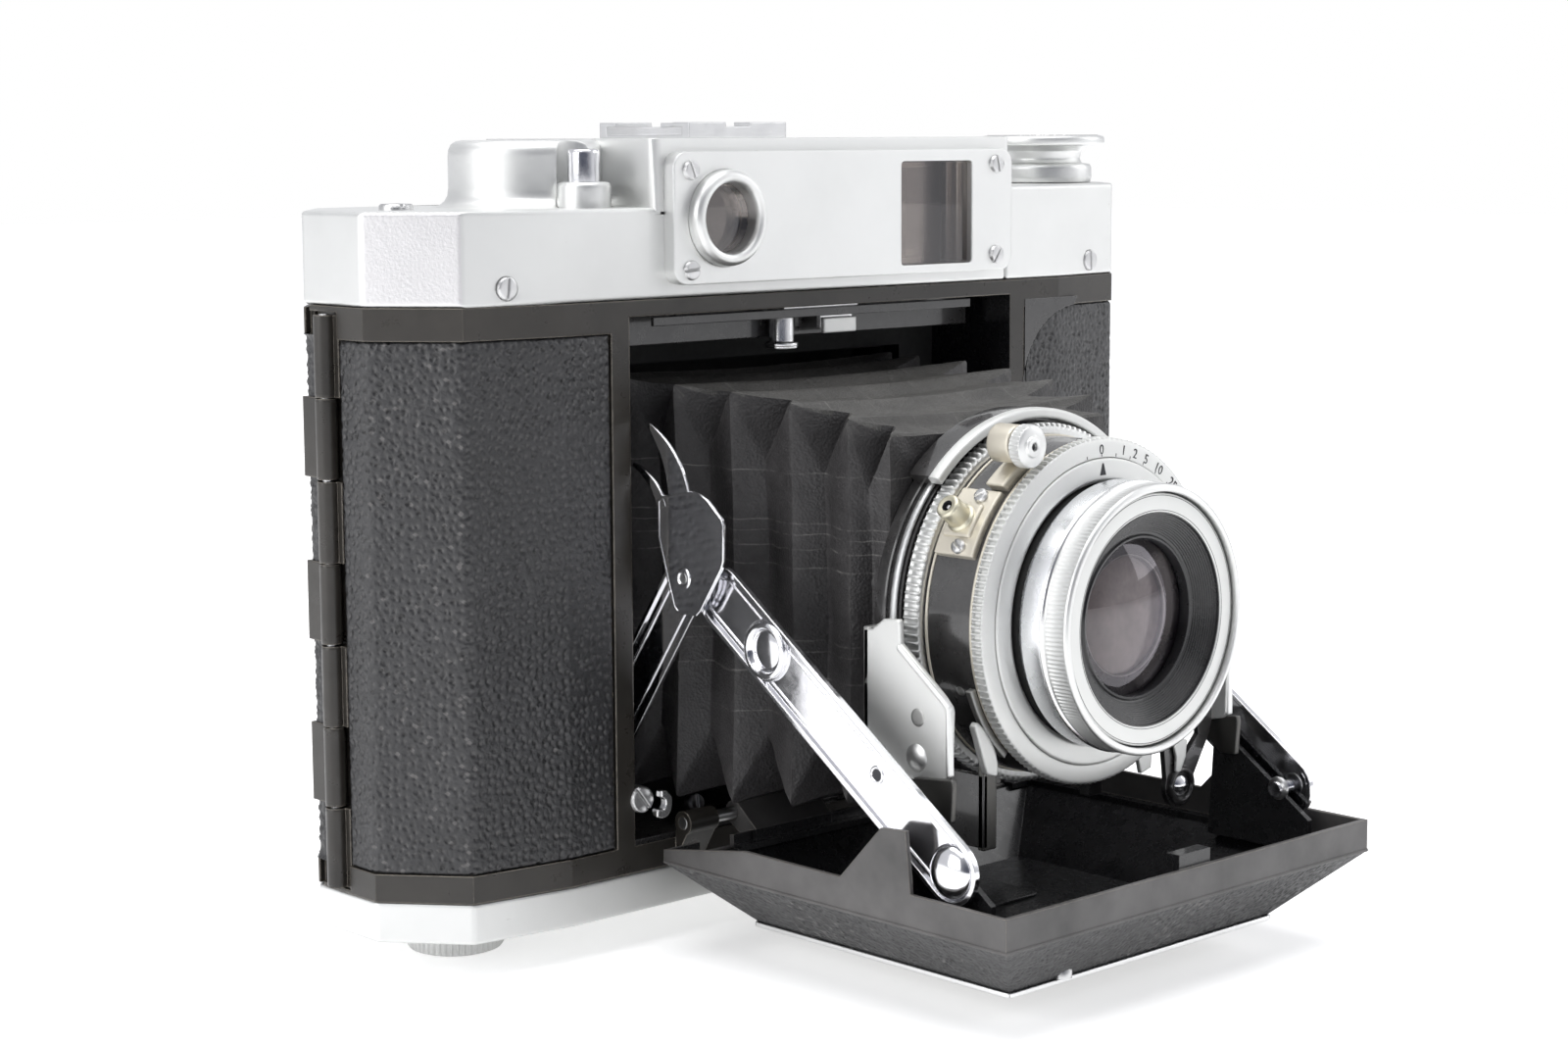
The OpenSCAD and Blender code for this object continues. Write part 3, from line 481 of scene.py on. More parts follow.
def soften(profile, radius):
    """Rounds the corners of an open line, but leaves nearly straight ones."""
    points = [np.array(p, float) for p in profile]
    rounded = [tuple(points[0])]
    for before, corner, after in zip(points, points[1:], points[2:]):
        to_before, to_after = before - corner, after - corner
        length_before, length_after = np.linalg.norm(to_before), np.linalg.norm(to_after)
        reach = min(radius, length_before * 0.45, length_after * 0.45)
        if float(np.dot(to_before, to_after) / length_before / length_after) < -0.985:
            rounded.append(tuple(corner))
            continue
        rounded += quadratic(corner + to_before / length_before * reach, corner,
                             corner + to_after / length_after * reach, 3)
    return rounded + [tuple(points[-1])]


def inset(outline, distance):
    """Moves a closed outline inwards."""
    count = len(outline)
    area = sum(outline[i][0] * outline[(i + 1) % count][1]
               - outline[(i + 1) % count][0] * outline[i][1] for i in range(count))
    turn = 1 if area > 0 else -1
    moved = []
    for i in range(count):
        before, point, after = (np.array(outline[(i + k) % count], float) for k in (-1, 0, 1))
        edges = [(point - before), (after - point)]
        inwards = [np.array((-e[1], e[0])) / np.linalg.norm(e) * turn for e in edges]
        middle = inwards[0] + inwards[1]
        middle = middle / np.linalg.norm(middle)
        reach = distance / max(0.35, float(np.dot(middle, inwards[0])))
        moved.append(tuple(point + middle * reach))
    return moved


def clip_x(outline, limit, keep_less):
    """The part of an outline on one side of x = limit."""
    kept = []
    for i, point in enumerate(outline):
        after = outline[(i + 1) % len(outline)]
        inside, after_inside = ((p[0] <= limit) == keep_less for p in (point, after))
        if inside:
            kept.append(point)
        if inside != after_inside:
            part = (limit - point[0]) / (after[0] - point[0])
            kept.append((limit, point[1] + part * (after[1] - point[1])))
    return kept


# ------------------------------------------------------------------ turned parts
# teeth between start and stop along the axis, cut where the radius is above the floor
Knurl = namedtuple("Knurl", "start stop count depth floor")


def revolve(name, profile, point_at, material, body, steps, knurl=None, closed=False,
            arc=(0, 360), **options):
    """Turns a profile of (radius, place along the axis); point_at gives each point."""
    if knurl:
        steps = knurl.count * 6
    full = arc[1] - arc[0] == 360
    size = len(profile)
    rings = steps if full else steps + 1
    verts, faces = [], []
    for k in range(rings):
        angle = math.radians(arc[0] + (arc[1] - arc[0]) * k / steps)
        for radius, along in profile:
            if knurl and k % 6 not in (2, 3) and radius > knurl.floor \
                    and knurl.start - 1e-6 <= along <= knurl.stop + 1e-6:
                radius -= knurl.depth
            verts.append(point_at(radius, angle, along))
    for k in range(steps):
        here, there = k * size, (k + 1) % rings * size
        for i in range(size if closed else size - 1):
            j = (i + 1) % size
            faces.append((here + i, here + j, there + j, there + i))
    if not full:
        faces.append(tuple(range(size)))
        faces.append(tuple((rings - 1) * size + i for i in range(size)))
    piece = add_piece(name, verts, faces, material, body, **options)
    face_outwards(piece.data, weld=True)
    shade(piece.data, 32)
    return piece


def lathe(name, profile, material, body="body", axis="y", centre=LENS_AXIS, steps=128,
          soft=0.12, **options):
    """A part turned about a line along x, y or z; soft rounds the profile's corners."""
    def point_at(radius, angle, along):
        return across(axis, centre[0] + radius * math.cos(angle),
                      centre[1] + radius * math.sin(angle), along)
    if soft:
        profile = soften(profile, soft)
    return revolve(name, profile, point_at, material, body, steps, **options)


def lathe_towards(name, profile, origin, direction, material, body, steps=64):
    """A part turned about any line; the profile starts at the origin."""
    axis = Vector(direction).normalized()
    side = axis.orthogonal().normalized()
    other = axis.cross(side)

    def point_at(radius, angle, along):
        spoke = (side * math.cos(angle) + other * math.sin(angle)) * radius
        return tuple(Vector(origin) + axis * along + spoke)
    return revolve(name, profile, point_at, material, body, steps)


def dome(name, centre, facing, radius, height, material, body, skirt):
    """A domed head facing "+x", "-y" and so on, with a skirt sunk behind its centre."""
    sign = -1 if facing[0] == "-" else 1
    axis = "xyz".index(facing[1])
    sphere = (radius ** 2 + height ** 2) / (2 * height)
    spread = math.asin(radius / sphere)
    profile = [(0.0, height)]
    for i in range(1, 13):
        angle = spread * i / 12
        profile.append((sphere * math.sin(angle), height - sphere + sphere * math.cos(angle)))
    profile.append((radius, -skirt - 0.001))
    lathe(name, [(r, centre[axis] + sign * rise) for r, rise in profile], material, body,
          facing[1], centre[:axis] + centre[axis + 1:], steps=48, soft=0)


# ------------------------------------------------------------------ plates and screws
def prism(name, outline, start, stop, axis, material, body="body", holes=(), **options):
    """A plate: its outline lies across the axis, its thickness along it."""
    loops = [list(outline)] + [list(hole) for hole in holes]
    triangles = geometry.tessellate_polygon(
        [[Vector((p[0], p[1], 0)) for p in loop] for loop in loops])
    flat = [p for loop in loops for p in loop]
    count = len(flat)
    verts = [across(axis, p[0], p[1], along) for along in (start, stop) for p in flat]
    faces = [tuple(t) for t in triangles]
    faces += [tuple(i + count for i in reversed(t)) for t in triangles]
    first = 0
    for loop in loops:
        size = len(loop)
        for i in range(size):
            here, there = first + i, first + (i + 1) % size
            faces.append((here, there, there + count, here + count))
        first += size
    return add_piece(name, verts, faces, material, body, **options)


def box(name, x_span, y_span, z_span, material, body, bevel):
    prism(name, rect(*x_span, *y_span), *z_span, "z", material, body, bevel=bevel)


def slot_screw(name, centre, facing, radius, turn, height, edge_drop, slot_width, slot_depth,
               body="body", replaces=None):
    """A slotted screw head; centre is the middle of its outer face."""
    steps = 40
    axis = Vector(facing).normalized()
    side = axis.orthogonal().normalized()
    up = axis.cross(side)
    turn = math.radians(turn)
    side, up = (side * math.cos(turn) + up * math.sin(turn),
                up * math.cos(turn) - side * math.sin(turn))
    start = math.asin(min(0.9, slot_width / 2 / radius))
    verts, faces = [], []

    def put(x, y, out):
        verts.append(tuple(Vector(centre) + side * x + up * y + axis * out))
        return len(verts) - 1

    for sign in (1, -1):
        top, rim, bottom = [], [], []
        for i in range(steps + 1):
            angle = start + (math.pi - 2 * start) * i / steps
            x, y = radius * math.cos(angle), sign * radius * math.sin(angle)
            top.append(put(x * 0.9, y * 0.9 if abs(y) > slot_width * 0.7 else y, 0.0))
            rim.append(put(x, y, -edge_drop))
            bottom.append(put(x, y, -height))
        middle = put(0, sign * radius * math.sin(start), 0.06)
        for i in range(steps):
            faces.append((middle, top[i], top[i + 1]))
            faces.append((top[i], rim[i], rim[i + 1], top[i + 1]))
            faces.append((rim[i], bottom[i], bottom[i + 1], rim[i + 1]))
        faces.append((middle, top[0], rim[0], bottom[0], bottom[-1], rim[-1], top[-1]))
    upper, lower = ([put(*polar((0, 0), radius * 0.98, 360 * i / steps), -depth)
                     for i in range(steps)] for depth in (slot_depth, height))
    faces.append(tuple(upper))
    for i in range(steps):
        j = (i + 1) % steps
        faces.append((upper[i], lower[i], lower[j], upper[j]))
    add_piece(name, verts, faces, "steel", body, smooth=28, replaces=replaces)


# ------------------------------------------------------------------ cutting
def cutter(verts, faces):
    mesh = bpy.data.meshes.new("cutter")
    mesh.from_pydata([to_scene(v) for v in verts], [], faces)
    face_outwards(mesh)
    return link_mesh("cutter", mesh)


def box_cutter(x_span, y_span, z_span):
    verts = [(x, y, z) for z in z_span for y in y_span for x in x_span]
    return cutter(verts, [(0, 1, 3, 2), (4, 6, 7, 5), (0, 4, 5, 1),
                          (1, 5, 7, 3), (3, 7, 6, 2), (2, 6, 4, 0)])


def bore(centre, radius, start, stop, axis, steps):
    """A round cutter along an axis."""
    outline = circle(centre, radius, steps)
    verts = [across(axis, *p, along) for along in (start, stop) for p in outline]
    faces = [tuple(range(steps)), tuple(range(2 * steps - 1, steps - 1, -1))]
    faces += [(i, (i + 1) % steps, (i + 1) % steps + steps, i + steps) for i in range(steps)]
    return cutter(verts, faces)


def cut(piece, cutters, is_dark=None):
    """Subtracts the cutters and drops them; faces that pass is_dark turn black."""
    for k, tool in enumerate(cutters):
        step = piece.modifiers.new("cut%d" % k, "BOOLEAN")
        step.object = tool
        step.operation = "DIFFERENCE"
        step.solver = "EXACT"
    graph = bpy.context.evaluated_depsgraph_get()
    mesh = bpy.data.meshes.new_from_object(piece.evaluated_get(graph))
    piece.modifiers.clear()
    uncut = piece.data
    piece.data = mesh
    bpy.data.meshes.remove(uncut)
    for tool in cutters:
        tool_mesh = tool.data
        bpy.data.objects.remove(tool)
        bpy.data.meshes.remove(tool_mesh)
    if is_dark:
        if len(mesh.materials) < 2:
            mesh.materials.append(MATERIALS["dark"])
        else:
            mesh.materials[1] = MATERIALS["dark"]
        for face in mesh.polygons:
            centre = face.center * 1000
            face.material_index = int(is_dark(centre.x, centre.y + FRONT, centre.z))
    shade(mesh, 50)
    # flat faces stay flat beside eased edges
    flat = piece.modifiers.new("flat_faces", "WEIGHTED_NORMAL")
    flat.keep_sharp = True
    flat.weight = 80


# ------------------------------------------------------------------ leather grain
def cell_distance(x, y, cell, seed):
    """Distance to the nearest point of a jittered grid, in cells."""
    x, y = x / cell, y / cell
    column, row = np.floor(x).astype(int), np.floor(y).astype(int)
    nearest = np.full(x.shape, 9.0)
    for i in (-1, 0, 1):
        for j in (-1, 0, 1):
            a, b = column + i, row + j
            mixed = (a * 374761393 + b * 668265263 + seed * 982451653) & 0xFFFFFFFF
            mixed = ((mixed ^ (mixed >> 13)) * 1274126177) & 0xFFFFFFFF
            jitter_x = (mixed & 0xFFFF) / 65535.0
            jitter_y = ((mixed >> 16) & 0xFFFF) / 65535.0
            gap = np.hypot(a + 0.15 + 0.7 * jitter_x - x, b + 0.15 + 0.7 * jitter_y - y)
            nearest = np.minimum(nearest, gap)
    return nearest


def value_noise(x, y, size, seed):
    x, y = x / size, y / size
    column, row = np.floor(x).astype(int), np.floor(y).astype(int)
    x, y = x - column, y - row
    x, y = x * x * (3 - 2 * x), y * y * (3 - 2 * y)

    def at(a, b):
        mixed = (a * 73856093 + b * 19349663 + seed * 83492791) & 0xFFFFFFFF
        mixed = ((mixed ^ (mixed >> 15)) * 2246822519) & 0xFFFFFFFF
        return ((mixed ^ (mixed >> 13)) & 0xFFFFFF) / 0xFFFFFF
    low = at(column, row) * (1 - x) + at(column + 1, row) * x
    high = at(column, row + 1) * (1 - x) + at(column + 1, row + 1) * x
    return low * (1 - y) + high * y


def pebble(x, y, cell=1.05, height=0.17, seed=3):
    """Height of the pebbled grain in mm."""
    warped_x = x + 0.35 * (value_noise(x, y, 1.3, seed) - 0.5)
    warped_y = y + 0.35 * (value_noise(x + 50, y, 1.3, seed + 1) - 0.5)
    gap = cell_distance(warped_x, warped_y * 0.8, cell, seed)
    rise = np.clip((gap - 0.06) / 0.36, 0, 1)
    rise = 1 - (1 - rise * rise * (3 - 2 * rise)) * (0.6 + 0.8 * value_noise(x, y, 2.3, seed + 5))
    return height * (rise - 0.55) + 0.035 * (value_noise(x, y, 0.45, seed + 9) - 0.5)


def leather_sheet(name, path, z0, z1, step, body, lift, replaces, gaps=None):
    """A covering that follows a plan path of (x, y), its outside on the path's left.
    gaps(x, y, z) is true where the covering is cut away."""
    path = np.array(path, float)
    lengths = np.hypot(*(path[1:] - path[:-1]).T)
    stations = np.concatenate([[0], np.cumsum(lengths)])
    along = np.linspace(0, stations[-1], int(stations[-1] / step) + 1)
    z = np.linspace(z0, z1, int((z1 - z0) / step) + 1)
    x = np.interp(along, stations, path[:, 0])
    y = np.interp(along, stations, path[:, 1])
    # outward normals, averaged along the path
    segment = np.clip(np.searchsorted(stations, along, side="right") - 1, 0, len(lengths) - 1)
    tangent = ((path[1:] - path[:-1]) / lengths[:, None])[segment]
    reach = int(0.7 / step)
    kernel = np.ones(2 * reach + 1) / (2 * reach + 1)
    out_x, out_y = (np.convolve(np.pad(n, reach, "edge"), kernel, "valid")
                    for n in (-tangent[:, 1], tangent[:, 0]))
    length = np.hypot(out_x, out_y)
    out_x, out_y = out_x / length, out_y / length
    along, z = np.meshgrid(along, z, indexing="ij")
    height = pebble(along, z) + lift
    # the edges roll down
    edge = np.minimum(np.minimum(along, along[-1, 0] - along), np.minimum(z - z0, z1 - z))
    height = height - 0.45 * np.exp(-edge / 0.22)
    raised_x = x[:, None] + out_x[:, None] * height
    raised_y = y[:, None] + out_y[:, None] * height
    keep = np.ones(z.shape, bool)
    if gaps:
        keep = ~gaps(x[:, None] + 0 * z, y[:, None] + 0 * z, z)
    whole = keep[:-1, :-1] & keep[1:, :-1] & keep[:-1, 1:] & keep[1:, 1:]
    used = np.zeros(z.shape, bool)
    for i in (0, 1):
        for j in (0, 1):
            used[i:z.shape[0] - 1 + i, j:z.shape[1] - 1 + j] |= whole
    index = -np.ones(z.shape, int)
    index[used] = np.arange(used.sum())
    verts = np.stack([raised_x[used], raised_y[used], z[used]], 1)
    i, j = np.nonzero(whole)
    faces = np.stack([index[i, j], index[i + 1, j], index[i + 1, j + 1], index[i, j + 1]], 1)
    add_piece(name, verts.tolist(), faces.tolist(), "leather", body, smooth=180,
              outwards=False, slot="leather", replaces=replaces)


# ------------------------------------------------------------------ pieces kept from the CAD
# material, width of the eased edges, names
KEPT = (
    ("enamel", 0, "body_shell back_cover"),
    ("enamel_door", 0, "door_pan"),
    ("matt", 0, "bellows_frame film_carriage pressure_plate eyepiece"),
    ("matt", 0.15, "window_shutter"),
    ("steel", 0, "film_roller_l film_roller_r takeup_key tripod_bush "
                 "back_hinge_pin door_hinge_pin"),
    ("gloss", 0, "takeup_spool supply_spool"),
    ("mirror", 0, "rf_mirrors"),
    ("glass", 0, "window_glasses"),
    ("red", 0, "red_window"),
    ("lens_glass", 0, "rear_glass"),
    ("blade", 0, "iris shutter_blades"),
    ("satin", 0, "focus_wheel winding_wheel"),
    ("satin_dark", 0.18, "door_plate"),
    ("chrome_soft", 0.2, "back_latch"),
    ("chrome_soft", 0.15, "door_latch"),
    ("chrome_soft", 0.22, "accessory_shoe"),
)


def dress(name, material, bevel):
    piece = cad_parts[name]
    piece.data.materials.clear()
    piece.data.materials.append(MATERIALS[material])
    if bevel:
        flat = piece.modifiers.new("flat", "DECIMATE")
        flat.decimate_type = "DISSOLVE"
        flat.angle_limit = math.radians(1.5)
        ease_edges(piece, bevel, segments=2, angle=35)


def blacken(name, is_inside):
    """Gives the inside black to faces by their centre (|x|, y, z) and normal."""
    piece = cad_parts[name]
    piece.data.materials.append(MATERIALS["door_inside"])
    for face in piece.data.polygons:
        centre = piece.matrix_world @ face.center * 1000
        normal = piece.matrix_world.to_3x3() @ face.normal
        if is_inside(abs(centre.x), centre.y + FRONT, centre.z, normal):
            face.material_index = 1


for material, bevel, names in KEPT:
    for name in names.split():
        dress(name, material, bevel)
blacken("body_shell", lambda x, y, z, normal: y > 1.2 and x < 38.8 and 8.5 < z < 79.6)
blacken("door_pan", lambda x, y, z, normal: (
    x < 34.45 and -63.95 < y < -5.3 and z > -0.6 and not (z > 11.5 and x > 34.4)
    and (normal.z > -0.2 or x < 34)))

# ------------------------------------------------------------------ body
# plan of the body, x and y
BODY_PLAN = [
    (-46.6, 0), (46.6, 0), (60.9, 2), (69, 11.7), (69, 24.3), (60.9, 34),
    (46.6, 36), (-46.6, 36), (-60.9, 34), (-69, 24.3), (-69, 11.7), (-60.9, 2)]
LEATHER_Z0 = 8.95
LEATHER_Z1 = 75.95
LEATHER_LIFT = 0.05
CORNER = (50.8, 64)             # x, z of the round cut in the leather's upper right corner
CORNER_RADIUS = 12
HINGE = (-69.25, 19.5)          # x, y
KNUCKLE_PITCH = 10.45


def side_path(end_y):
    """From the opening round the left of the body, back to end_y."""
    return soften([(-39.15, 0.12), (-46.6, 0.12), (-60.85, 2.1), (-68.85, 11.75),
                   (-68.85, end_y)], 1.0)


def right_gaps(x, y, z):
    corner = ((x > 39) & (x < CORNER[0]) & (z > CORNER[1])
              & (np.hypot(x - CORNER[0], z - CORNER[1]) > CORNER_RADIUS) & (y < 2))
    latch = (x > 67.5) & (y > 19.6) & (z > 32) & (z < 50)
    return corner | latch


def rear_gaps(x, y, z):
    window = (np.hypot(x - 22, z - 27.7) < 5.3) & (y > 34)
    pivot = (np.hypot(x - 22, z - 34.5) < 1.0) & (y > 34)
    latch = (x > 66) & (y < 28) & (z > 32) & (z < 50)
    return window | pivot | latch


# the left leather stops at the hinge
leather_sheet("leather_left", side_path(17.1), LEATHER_Z0, LEATHER_Z1, 0.17, "body",
              LEATHER_LIFT, "leather_front")
leather_sheet("leather_right", [(-x, y) for x, y in reversed(side_path(22.1))],
              LEATHER_Z0, LEATHER_Z1, 0.2, "body", LEATHER_LIFT, "leather_front", right_gaps)
prism("corner_recess",
      [(39.2, 65)] + [polar(CORNER, CORNER_RADIUS, a) for a in range(175, 89, -9)]
      + [(CORNER[0], 77.2), (39.2, 77.2)], -0.06, 0.3, "y", "gloss")
rear_path = soften([
    (68.85, 24.3), (60.85, 33.9), (46.6, 35.88), (-46.6, 35.88), (-60.85, 33.9),
    (-68.9, 24.6), (-69.42, 23.9), (-69.42, 21.3)], 0.9)
leather_sheet("leather_rear", rear_path, LEATHER_Z0, 76.45, 0.3, "back", 0.38,
              "leather_back", rear_gaps)

# hinge knuckles with rolled ends, by turns on the body and on the back
for i in range(7):
    z0 = 6 + i * KNUCKLE_PITCH + (0.15 if i % 2 else 0)
    z1 = 16.3 + i * KNUCKLE_PITCH
    lathe("knuckle_%d" % i,
          [(0.66, z0 + 0.06), (1.25, z0 + 0.06), (1.38, z0 + 0.25),
           (1.38, z1 - 0.25), (1.25, z1 - 0.06), (0.66, z1 - 0.06)],
          "enamel", "back" if i % 2 else "body", "z", HINGE, steps=40, soft=0, closed=True)

KNOB_X = 52
prism("base_cover", BODY_PLAN, 0.0, 5.3, "z", "satin",
      holes=[circle((0, FRONT), 4.6, 40), circle((-KNOB_X, FRONT), 3, 32),
             circle((KNOB_X, FRONT), 3, 32)],
      bevel=0.45, segments=3, bevel_angle=15, replaces="base_plate", slot="satin")

# ------------------------------------------------------------------ top
STEP_BASE = 80.12
STEP_SPLIT_X = 35.0             # where the left step meets the right one
STEP_SCREW = (54.7, 82.3)       # x to either side, z
TOP_SCREW = (-59, 18)           # x, y
ROUND_WINDOW = (-21.3, 90.3)    # x, z
FINDER_WINDOW = (11.5, 25.7, 83, 97.3)  # x0, x1, z0, z1
WHEEL_WELL = (-34.8, 24.2)      # x, y
RELEASE = (-37, 7.5)            # x, y
DIAL = (58.5, 14)               # x, y


def top_cutters():
    """The hollow of the top cover and its three window openings."""
    return ([box_cutter((-29.5, 34), (1.6, 34), (79, 98.2))],
            [bore(ROUND_WINDOW, 4.6, -1, 3, "y", 48),
             box_cutter(FINDER_WINDOW[:2], (-1, 3), FINDER_WINDOW[2:]),
             bore((18, 90.3), 3.1, 33, 37, "y", 40)])


STEP_LOOK = dict(bevel=0.55, segments=4, slot="satin", bevel_angle=15)
step_left = prism("step_left", clip_x(BODY_PLAN, STEP_SPLIT_X, True), STEP_BASE, 91.8, "z",
                  "satin", **STEP_LOOK)
hollow, windows = top_cutters()
cut(step_left,
    [bore((-STEP_SCREW[0], STEP_SCREW[1]), 1.6, -1, 1.6, "y", 36),
     bore(TOP_SCREW, 2.3, 90.6, 93, "z", 40),
     bore(WHEEL_WELL, 9.0, 82, 90, "z", 40)] + hollow + windows,
    lambda x, y, z: -29.9 < x < 34.5 and 0.4 < y < 34.4 and z < 98.6)
step_left.data.materials.append(MATERIALS["speckle"])
for face in step_left.data.polygons:
    if -0.9 < face.normal.x < -0.5 and face.normal.y < -0.2:
        face.material_index = 2

step_right = prism("step_right", clip_x(BODY_PLAN, STEP_SPLIT_X, False), STEP_BASE, 93.6, "z",
                   "satin", **STEP_LOOK)
cut(step_right, [bore(STEP_SCREW, 1.6, -1, 1.6, "y", 36),
                 bore((43, 27.6), 9.9, 83.9, 88.6, "z", 60),
                 bore(DIAL, 3.05, 85, 95, "z", 40)])

housing = prism("housing", rounded_rect(-31.5, 36, 0, 36, 1.3, 6), 90.9, 100.6, "z", "satin",
                bevel=1.15, segments=6, slot="satin", replaces="top_cover", bevel_angle=50)
hollow, windows = top_cutters()
cut(housing, hollow + [bore(WHEEL_WELL, 9.0, 93, 97, "z", 60)] + windows,
    lambda x, y, z: -30.5 < x < 35 and 0.4 < y < 35.5 and z < 98.6)
# the foot of the front face is drawn flush with the front plane
for vertex in housing.data.vertices:
    if vertex.co.z < 0.0915 and abs(vertex.co.y + FRONT * MM) < 0.0013:
        vertex.co.y = -FRONT * MM

# round drum with a soft foot
drum = lathe("drum", [
    (0.0, 100.45), (8.8, 100.45), (9.7, 100.32), (10.35, 99.9), (10.7, 99.2), (10.8, 98.4),
    (10.8, 94.2), (10.95, 93.2), (11.35, 92.5), (12.0, 92.0), (12.9, 91.82), (12.9, 91.2),
    (0.0, 91.2)], "satin", "body", "z", (-35.5, 20.5), steps=160, soft=0, slot="satin")
cut(drum, [bore(RELEASE, 3.6, 91.7, 103, "z", 64), bore(WHEEL_WELL, 9.0, 93, 97, "z", 80)])

for k, (x, z, turn) in enumerate(((-27.1, 96.5, 68), (-27.1, 83.7, -40),
                                  (30.7, 96.8, 60), (30.7, 84, 10))):
    slot_screw("plate_screw_%d" % k, (x, -2.5, z), (0, -1, 0), radius=1.3, turn=turn,
               height=1.0, edge_drop=0.3, slot_width=0.32, slot_depth=0.4)
for (side, tag), turn in zip(SIDES, (38, 48)):
    slot_screw("step_screw_" + tag, (side * STEP_SCREW[0], 0.75, STEP_SCREW[1]), (0, -1, 0),
               radius=1.45, turn=turn, height=1.2, edge_drop=0.12, slot_width=0.3,
               slot_depth=0.3)
slot_screw("step_top_screw", (*TOP_SCREW, 92.55), (0, 0, 1), radius=2.15, turn=30, height=1.2,
           edge_drop=0.2, slot_width=0.4, slot_depth=0.35, replaces="slotted_screws")

# raised front plate, with a ring round its left window and a frame in the right one
prism("front_plate", rounded_rect(-30, 34, 81.8, 98.9, 2.2, 8), -2.05, 0.02, "y", "satin_fine",
      holes=[circle(ROUND_WINDOW, 6.3, 64), rounded_rect(*FINDER_WINDOW, 0.5, 3)],
      bevel=0.42, segments=3, replaces="rf_plate", slot="satin", bevel_angle=40)
lathe("round_window_ring", [
    (4.55, -0.1), (4.55, -3.1), (4.75, -3.75), (5.25, -3.95), (5.7, -3.9), (6.15, -3.5),
    (6.27, -2.9), (6.27, -0.1)], "satin_fine", centre=ROUND_WINDOW, steps=96, soft=0.08,
    closed=True, replaces="rf_ring", slot="satin")
prism("finder_frame", rounded_rect(11.7, 25.5, 83.2, 97.1, 0.4, 3), -0.06, 0.6, "y",
      "satin_dark", holes=[rounded_rect(12.5, 24.6, 83.9, 96.4, 0.4, 3)], bevel=0.1)
box("finder_mask", (12.0, 15.2), (0.7, 1.0), (83.4, 96.9), "ink", "body", 0.05)

lathe("release_ring", [
    (2.15, 91.6), (3.5, 91.6), (3.5, 94.5), (3.35, 94.9), (3.0, 95.08), (2.15, 95.1)],
    "satin_fine", "body", "z", RELEASE, steps=80, soft=0.1, closed=True,
    replaces="release_collar", slot="satin")
lathe("release_cap", [
    (0, 99.15), (0.9, 99.2), (1.6, 99.28), (1.95, 99.15), (2.1, 98.8), (2.1, 89), (0, 89)],
    "chrome", "release", "z", RELEASE, steps=72, soft=0.06, replaces="release_button",
    slot="bright")

# dial on a waisted neck
lathe("dial_disc", [
    (0, 100.75), (8.6, 100.75), (9.25, 100.55), (9.4, 100.2), (9.4, 99.5), (9.1, 99.2),
    (6.9, 99.2), (5.9, 98.4), (5.7, 97.2), (6.0, 96.6), (7.2, 96.4), (7.45, 95.9),
    (7.5, 94.4), (7.3, 93.7), (3, 93.65), (3, 89), (0, 89)],
    "satin_fine", "dial", "z", DIAL, steps=120, soft=0.08, replaces="distance_dial",
    slot="satin")
for k in range(36):
    inner = 6.6 if k % 3 == 0 else 7.4
    prism("dial_tick_%02d" % k,
          capsule(polar(DIAL, inner, 10 * k), polar(DIAL, 8.3, 10 * k), 0.09, 3),
          100.72, 100.79, "z", "ink", "dial")

# knobs under the base
for side, tag in SIDES:
    knob = "knob_" + tag
    lathe(knob + "_head", [
        (0, -4.95), (5.4, -4.95), (6.1, -4.7), (6.4, -4.3), (6.4, -0.9), (6.1, -0.5),
        (2.5, -0.4), (2.5, 9.9), (2.4, 9.9), (2.4, 14.5), (0, 14.5)],
        "satin", knob, "z", (side * KNOB_X, FRONT), soft=0,
        knurl=Knurl(-4.4, -0.8, 48, 0.3, 5.9), replaces=knob, slot="satin")

# ------------------------------------------------------------------ bellows
# ridges from the body forwards: y, half width, half height
RIDGES = [
    (16.2, 28.2, 27.6), (10.4, 28.0, 27.3), (0.9, 27.9, 27.1), (-8.7, 26.7, 26.6),
    (-18.2, 25.2, 25.7), (-26.7, 23.4, 24.2), (-31.2, 20.4, 22.2)]
SIDE_FOLDS = ((51.0, 0.16), (48.6, 0.12), (45.6, 0.18), (36.2, 0.16), (31.5, 0.2),
              (58.2, 0.1))      # z, height of the raised crease
EDGE_STEPS = 44                 # along each side of a section
CORNER_STEPS = 8                # across each cut corner
PLEAT_STEPS = 14                # from one ridge to the next
VALLEY = 0.30                   # place of the valley, measured from the rear ridge


def bellows_section(width, height, side_cut, top_cut, sag):
    """An octagon of half sizes, its corners cut and its four long edges sagging inwards."""
    inner_x, inner_z = width - top_cut, height - side_cut
    corners = [(-inner_x, height), (inner_x, height), (width, inner_z), (width, -inner_z),
               (inner_x, -height), (-inner_x, -height), (-width, -inner_z), (-width, inner_z)]
    inwards = {0: (0, -1), 2: (-1, 0), 4: (0, 1), 6: (1, 0)}
    points = []
    for k, start in enumerate(corners):
        stop = corners[(k + 1) % 8]
        pull = inwards.get(k, (0, 0))
        steps = CORNER_STEPS if k % 2 else EDGE_STEPS
        for i in range(steps):
            part = i / steps
            depth = sag * math.sin(math.pi * part)
            points.append([start[n] + (stop[n] - start[n]) * part + pull[n] * depth
                           for n in (0, 1)])
    return points


